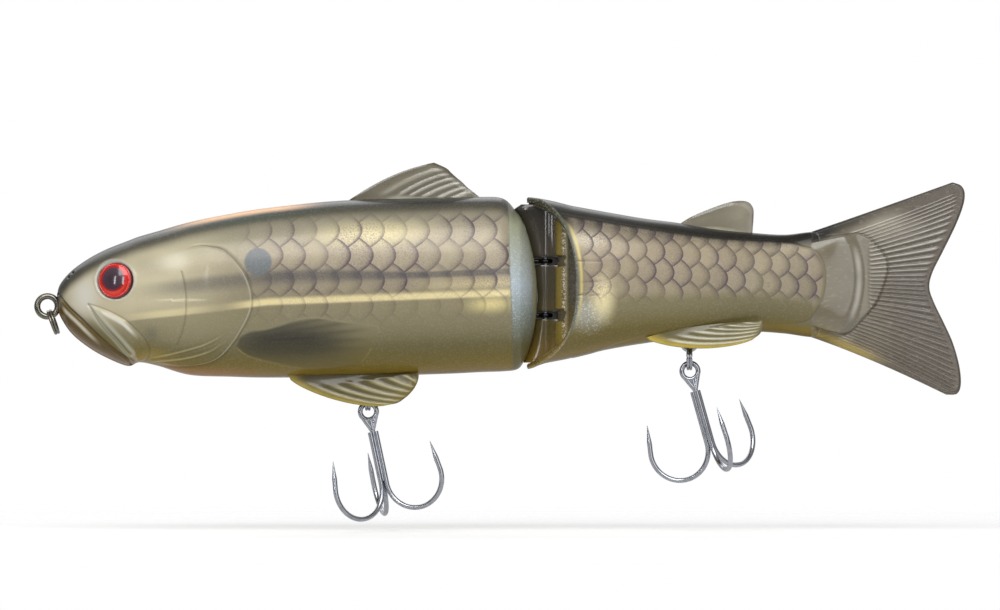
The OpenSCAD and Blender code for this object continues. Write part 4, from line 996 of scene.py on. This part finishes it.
# ---------------------------------------------------------------- tail
def tail():
    """The soft tail, whose sleeve carries on the rear section's form."""
    columns, rows, rays = 520, 120, 41
    root_top, root_bottom, root_half, _ = (float(v) for v in rear_section(np.array(TAIL_X)))
    mid, half = (root_top + root_bottom) / 2, (root_top - root_bottom) / 2
    t = np.linspace(0, 1, columns + 1)[:, None]
    s = np.linspace(0, 1, rows + 1)[None, :]
    v = 2 * t - 1
    edge = spline(TAIL_EDGE, t[:, 0] * (len(TAIL_EDGE) - 1)) * [TAIL_LEN, TAIL_H / 2] + [TAIL_X, mid - 1.1]
    start = np.stack([np.full(columns + 1, TAIL_X), mid + v[:, 0] * half], axis=1)
    bend = np.stack([np.full(columns + 1, TAIL_X + 0.38 * TAIL_LEN), mid + v[:, 0] * (half + 5.5)], axis=1)
    a, b, c = start[:, None, :], bend[:, None, :], edge[:, None, :]
    k = s[..., None]
    flat = mix(mix(a, b, k), mix(b, c, k), k)
    x, z = flat[..., 0], flat[..., 1]
    pocket = depth(POCKET, x, z)
    # Half thickness: the body's oval at the joint, a crest, the pocket's floor and a thin web
    f = np.clip(np.abs(z - mid) / half, 0, 1)
    oval = (1 - f**SQUARENESS) ** (1 / SQUARENESS)
    along = (x - TAIL_X) / 20.5
    crest = px(846) + 2.6 - 0.018 * (z - pz(278)) ** 2
    body = mix(root_half, 2.9, np.clip(along, 0, 1)) * mix(oval, 1 - f**4 * 0.35, ramp(along, 0.0, 0.4))
    body = body * mix(1.0, 0.5, ramp(x - crest, -1.0, 3.2))
    web = mix(0.95, 0.75, s) * np.clip(14 * (1 - np.abs(v)) + 0.35, 0, 1) * (1 - 0.45 * ramp(s, 0.985, 1.0))
    inside = ramp(pocket, -0.1, 0.35)
    near_joint = 1 - ramp(x, TAIL_X, TAIL_X + 3.5)
    thick = np.maximum(web, body * np.maximum(inside, near_joint))
    margin = ramp(1 - v, 0.2, 0.3) * ramp(1 + v, 0.08, 0.16) * (1 - ramp(s, mix(0.9, 0.95, 1 - t), 0.97))
    dash = past(x, 868, 873)
    ray = 0.5 + 0.5 * np.cos(2 * np.pi * rays * t)
    ribbed = margin * past(x, 836, 858) * np.maximum(1 - ramp(pocket, -0.4, 0.2), dash)
    thick = thick + 0.28 * ray**2 * ribbed - 0.16 * bump_at(pocket, 0.0, 0.4) * past(x, 830, 850)

    tone = shades(s + 0 * t, (0, 122, 114, 94), (0.45, 120, 110, 90), (0.7, 92, 80, 62), (1, 88, 76, 62))
    tone = paint(tone, (124, 117, 99), inside * 0.9)
    tone = paint(tone, (74, 64, 53), ribbed * (1 - ray) * 0.6)
    # Painted highlights along the ribs, brighter in the upper lobe
    tone = paint(tone, (214, 208, 194), ribbed * ray**6 * mix(0.22, 0.9, ramp(v, -0.1, 0.35)))
    light = blot(x, z, 885, 226, 6.5, 0.45)
    tone = paint(tone, (192, 185, 168), light * 0.6 * (1 - inside))
    # Painted highlight: a light arc along the sleeve's crest
    painted_crescent_highlight = bump_at(x - crest, 1.0, 1.3) * (1 - ramp(np.abs(z - pz(284)), 6, 12))
    tone = paint(tone, (216, 212, 200), painted_crescent_highlight * 0.7)
    tone = paint(tone, (168, 146, 62), (1 - ramp(1 + v, 0.02, 0.24)) * (1 - ramp(s, 0.35, 0.62)) * 0.9)
    tone = paint(tone, (62, 55, 46), (1 - ramp(1 - v, 0.0, 0.1)) * 0.75)
    height = root_top - root_bottom
    edge_band = (1 - ramp((1 - t) * height, 1.2, 3.6)) * (1 - past(x, 850, 915))
    tone = paint(tone, (54, 50, 40), edge_band * 0.85)
    body_tone = flank(x, z, t * height + 0 * s, (1 - t) * height + 0 * s)
    tone = paint(tone, body_tone, 1 - past(x, 822, 845))
    tone = paint(tone, (70, 62, 53), np.maximum(ramp(s, 0.985, 1.0), 1 - ramp(1 + v, 0.0, 0.02)) * 0.55)
    tone = paint(tone, (72, 66, 56), bump_at(pocket, -0.15, 0.35) * past(x, 835, 850) * 0.7)
    solid = np.maximum(inside, 1 - ramp(s, 0.45, 0.75))
    *faces, band = shell_of(np.stack([x, -thick, z], axis=-1), np.stack([x, thick, z], axis=-1))
    # The end of the foil shows through the sleeve
    foil_end = depth(REAR_FOIL, x, z)
    seen = (foil_end[:-1, :-1] > 0) & (x[:-1, :-1] < px(840))
    scales = ramp(foil_end, 0.2, 1.2) * ramp(z, pz(312), pz(300))
    parts = Surface()
    for face, turn in zip(faces, (1, -1)):
        parts.add(
            face, seen[:, ::turn].astype(int), tint=tone[:, ::turn], solid=solid[:, ::turn],
            foil=scales[:, ::turn], metal=0.2 * scales[:, ::turn],
        )
    parts.add(band, tint=plain((74, 66, 56), band), solid=np.ones(band.shape[:2]))
    made = parts.make("soft_tail_look", "rear", [tail_rubber, skin])
    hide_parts("tail_fin")


tail()


# ---------------------------------------------------------------- eyes
def eye(side):
    """One domed eye, turned into the slant of the head."""
    turns, rings = 72, 30
    r = np.concatenate([np.linspace(0.0001, 1, rings) * (EYE_D / 2 - 0.2),
                        [EYE_D / 2 - 0.05, EYE_D / 2, EYE_D / 2]])[:, None]
    a = np.linspace(0, 2 * math.pi, turns, endpoint=False)[None, :]
    dome = 1.1 * (1 - (r / (EYE_D / 2)) ** 2) + 0.05
    dome[-2:] = [[-0.1], [-1.6]]
    dome = dome + 0.18 * bump_at(r, 4.65, 0.35)
    u, w = r * np.cos(a), r * np.sin(a)
    local = np.stack([u, w, dome + 0 * a], axis=-1)
    tilt, toe = math.radians(90 - EYE_CANT), math.radians(-EYE_TOE)
    rx = np.array([[1, 0, 0], [0, math.cos(tilt), -math.sin(tilt)], [0, math.sin(tilt), math.cos(tilt)]])
    rz = np.array([[math.cos(toe), -math.sin(toe), 0], [math.sin(toe), math.cos(toe), 0], [0, 0, 1]])
    top, _, wide, level = (float(v) for v in front_section(np.array(EYE_X)))
    f = (EYE_Z - level) / (top - level)
    seat = wide * (1 - f**SQUARENESS) ** (1 / SQUARENESS)
    points = local @ (rz @ rx).T + np.array([EYE_X, -seat, EYE_Z])
    pupil = np.hypot(u + 0.3, w - 0.35)
    radius = r + 0 * a
    tone = shades(radius, (0, 196, 20, 18), (3.6, 214, 26, 20), (4.4, 226, 34, 26), (4.75, 150, 12, 12),
                  (5.0, 70, 10, 10))
    # Painted highlight: a bright orange-red arc low in the iris, which also sets where the eye sparkles
    painted_lower_glint = bump_at(pupil, 3.75, 0.8) * ramp(-w, 0.2, 2.6)
    tone = paint(tone, (255, 74, 52), painted_lower_glint * 0.9)
    tone = paint(tone, (70, 44, 60), 1 - ramp(pupil, 3.0, 3.3))
    tone = paint(tone, (40, 22, 30), (1 - ramp(pupil, 0.5, 2.6)) * 0.7)
    tone = paint(tone, (90, 8, 10), bump_at(pupil, 3.35, 0.25) * 0.8)
    parts = Surface()
    parts.add(points, wrap=True, tint=tone, flake=painted_lower_glint, metal=0.35 * ramp(pupil, 3.1, 3.5))
    made = parts.make(f"fish_eye_{side}", "front", [red_eye], mirrored=side == "right")
    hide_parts(f"eye_{side}")


for side in ("left", "right"):
    eye(side)

# ---------------------------------------------------------------- CAD pieces that keep their shape
WIRE = ["line_tie", "nose_split_ring", "front_hook_hanger", "front_split_ring", "front_treble_hook",
        "rear_hook_hanger", "rear_split_ring", "rear_treble_hook"]
kept = {name: nickel for name in WIRE}
kept.update(line_tie=bronzed, nose_split_ring=bronzed)
kept.update(hinge_eye_upper=black_nickel, hinge_eye_lower=black_nickel, hinge_pin=steel)
kept.update(front_ballast=lead_grey, rear_ballast=lead_grey)
kept.update(front_foil_left=foil_back, front_foil_right=foil_back)
kept.update(rear_foil_left=foil_back, rear_foil_right=foil_back)
for name, material in kept.items():
    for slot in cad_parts[name].material_slots:
        slot.material = material


# ---------------------------------------------------------------- stage, light and camera
def area_light(name, place, target, size, power):
    """A soft white panel turned to its target."""
    data = bpy.data.lights.new(name, "AREA")
    data.shape = "RECTANGLE"
    data.size, data.size_y = size
    data.energy = power
    lamp = bpy.data.objects.new(name, data)
    lamp.location = place
    lamp.rotation_euler = (Vector(target) - Vector(place)).to_track_quat("-Z", "Y").to_euler()
    bpy.context.scene.collection.objects.link(lamp)


MIDDLE = (0.125, 0, 0)
FLOOR_Z = -0.0625
area_light("key", (0.05, -0.75, 0.62), MIDDLE, (0.9, 0.5), 5.4)
area_light("fill", (0.55, -0.9, 0.15), MIDDLE, (0.6, 0.6), 1.6)
area_light("strip left", (-0.39, -0.56, 0.14), (0.02, 0, 0), (0.045, 0.26), 0.3)
area_light("strip right", (-0.145, -0.69, 0.14), (0.02, 0, 0), (0.045, 0.26), 0.3)
area_light("back", (-0.1, 0.6, 0.5), MIDDLE, (0.8, 0.4), 1.3)


def floor():
    """A pale floor that fades away from the object."""
    mesh = bpy.data.meshes.new("floor")
    turns = 96
    radii = [0.0001, 0.2, 0.4, 0.7, 1.1, 1.6, 2.4]
    points = [(MIDDLE[0] + r * math.cos(2 * math.pi * k / turns), r * math.sin(2 * math.pi * k / turns),
               FLOOR_Z)
              for r in radii for k in range(turns)]
    faces = [(i * turns + k, (i + 1) * turns + k, (i + 1) * turns + (k + 1) % turns, i * turns
              + (k + 1) % turns)
             for i in range(len(radii) - 1) for k in range(turns)]
    mesh.from_pydata(points, [], faces)
    obj = bpy.data.objects.new("floor", mesh)
    bpy.context.scene.collection.objects.link(obj)
    m = Material("pale_floor", (0.9, 0.9, 0.9), roughness=0.9)
    x, y, _ = m.place()
    away = ((x - 125.0) * (x - 125.0) * 0.35 + y * y).op("SQRT")
    m.shader.inputs["Emission Color"].default_value = (1, 1, 1, 1)
    m.link(Field(m.tree, node(m.tree, "LightPath").outputs["Is Camera Ray"]) * 0.3, "Emission Strength")
    clear = node(m.tree, "BsdfTransparent")
    blend = node(m.tree, "MixShader",
                 {0: away.smooth(40, 330), 1: m.shader.outputs[0], 2: clear.outputs[0]})
    m.tree.links.new(blend.outputs[0], m.tree.nodes["Material Output"].inputs["Surface"])
    mesh.materials.append(m.mat)


floor()


def studio():
    """White behind the object for the camera, and soft uneven studio light for the rest."""
    world = bpy.data.worlds.new("studio")
    bpy.context.scene.world = world
    world.use_nodes = True
    tree = world.node_tree
    back = tree.nodes["Background"]
    parts = node(tree, "SeparateXYZ", {0: node(tree, "TexCoord").outputs["Generated"]})
    level = Field(tree, parts.outputs[2]).smooth(-0.35, 0.85, 0.14, 0.42)
    behind = Field(tree, parts.outputs[1]).smooth(0.1, 0.9, 0.0, 0.6)
    path = node(tree, "LightPath")
    camera_ray, through, glossy = (Field(tree, path.outputs[f"Is {kind} Ray"])
        for kind in ("Camera", "Transmission", "Glossy"))
    seen = camera_ray + through + glossy * behind
    strength = level + (level * -1.0 + 1.0) * seen.op("MINIMUM", 1.0)
    tree.links.new(strength.socket, back.inputs["Strength"])
    back.inputs["Color"].default_value = (1, 1, 1, 1)


studio()

camera = bpy.data.cameras.new("camera")
camera.sensor_width = 36.0
DISTANCE, FRAME_W = 2.6, 0.27685
camera.lens = camera.sensor_width * DISTANCE / FRAME_W
view = bpy.data.objects.new("camera", camera)
view.location = (0.125275, -DISTANCE, 0.00036)
view.rotation_euler = (math.radians(90), 0, 0)
bpy.context.scene.collection.objects.link(view)
bpy.context.scene.camera = view
bpy.context.scene.view_settings.view_transform = "Standard"
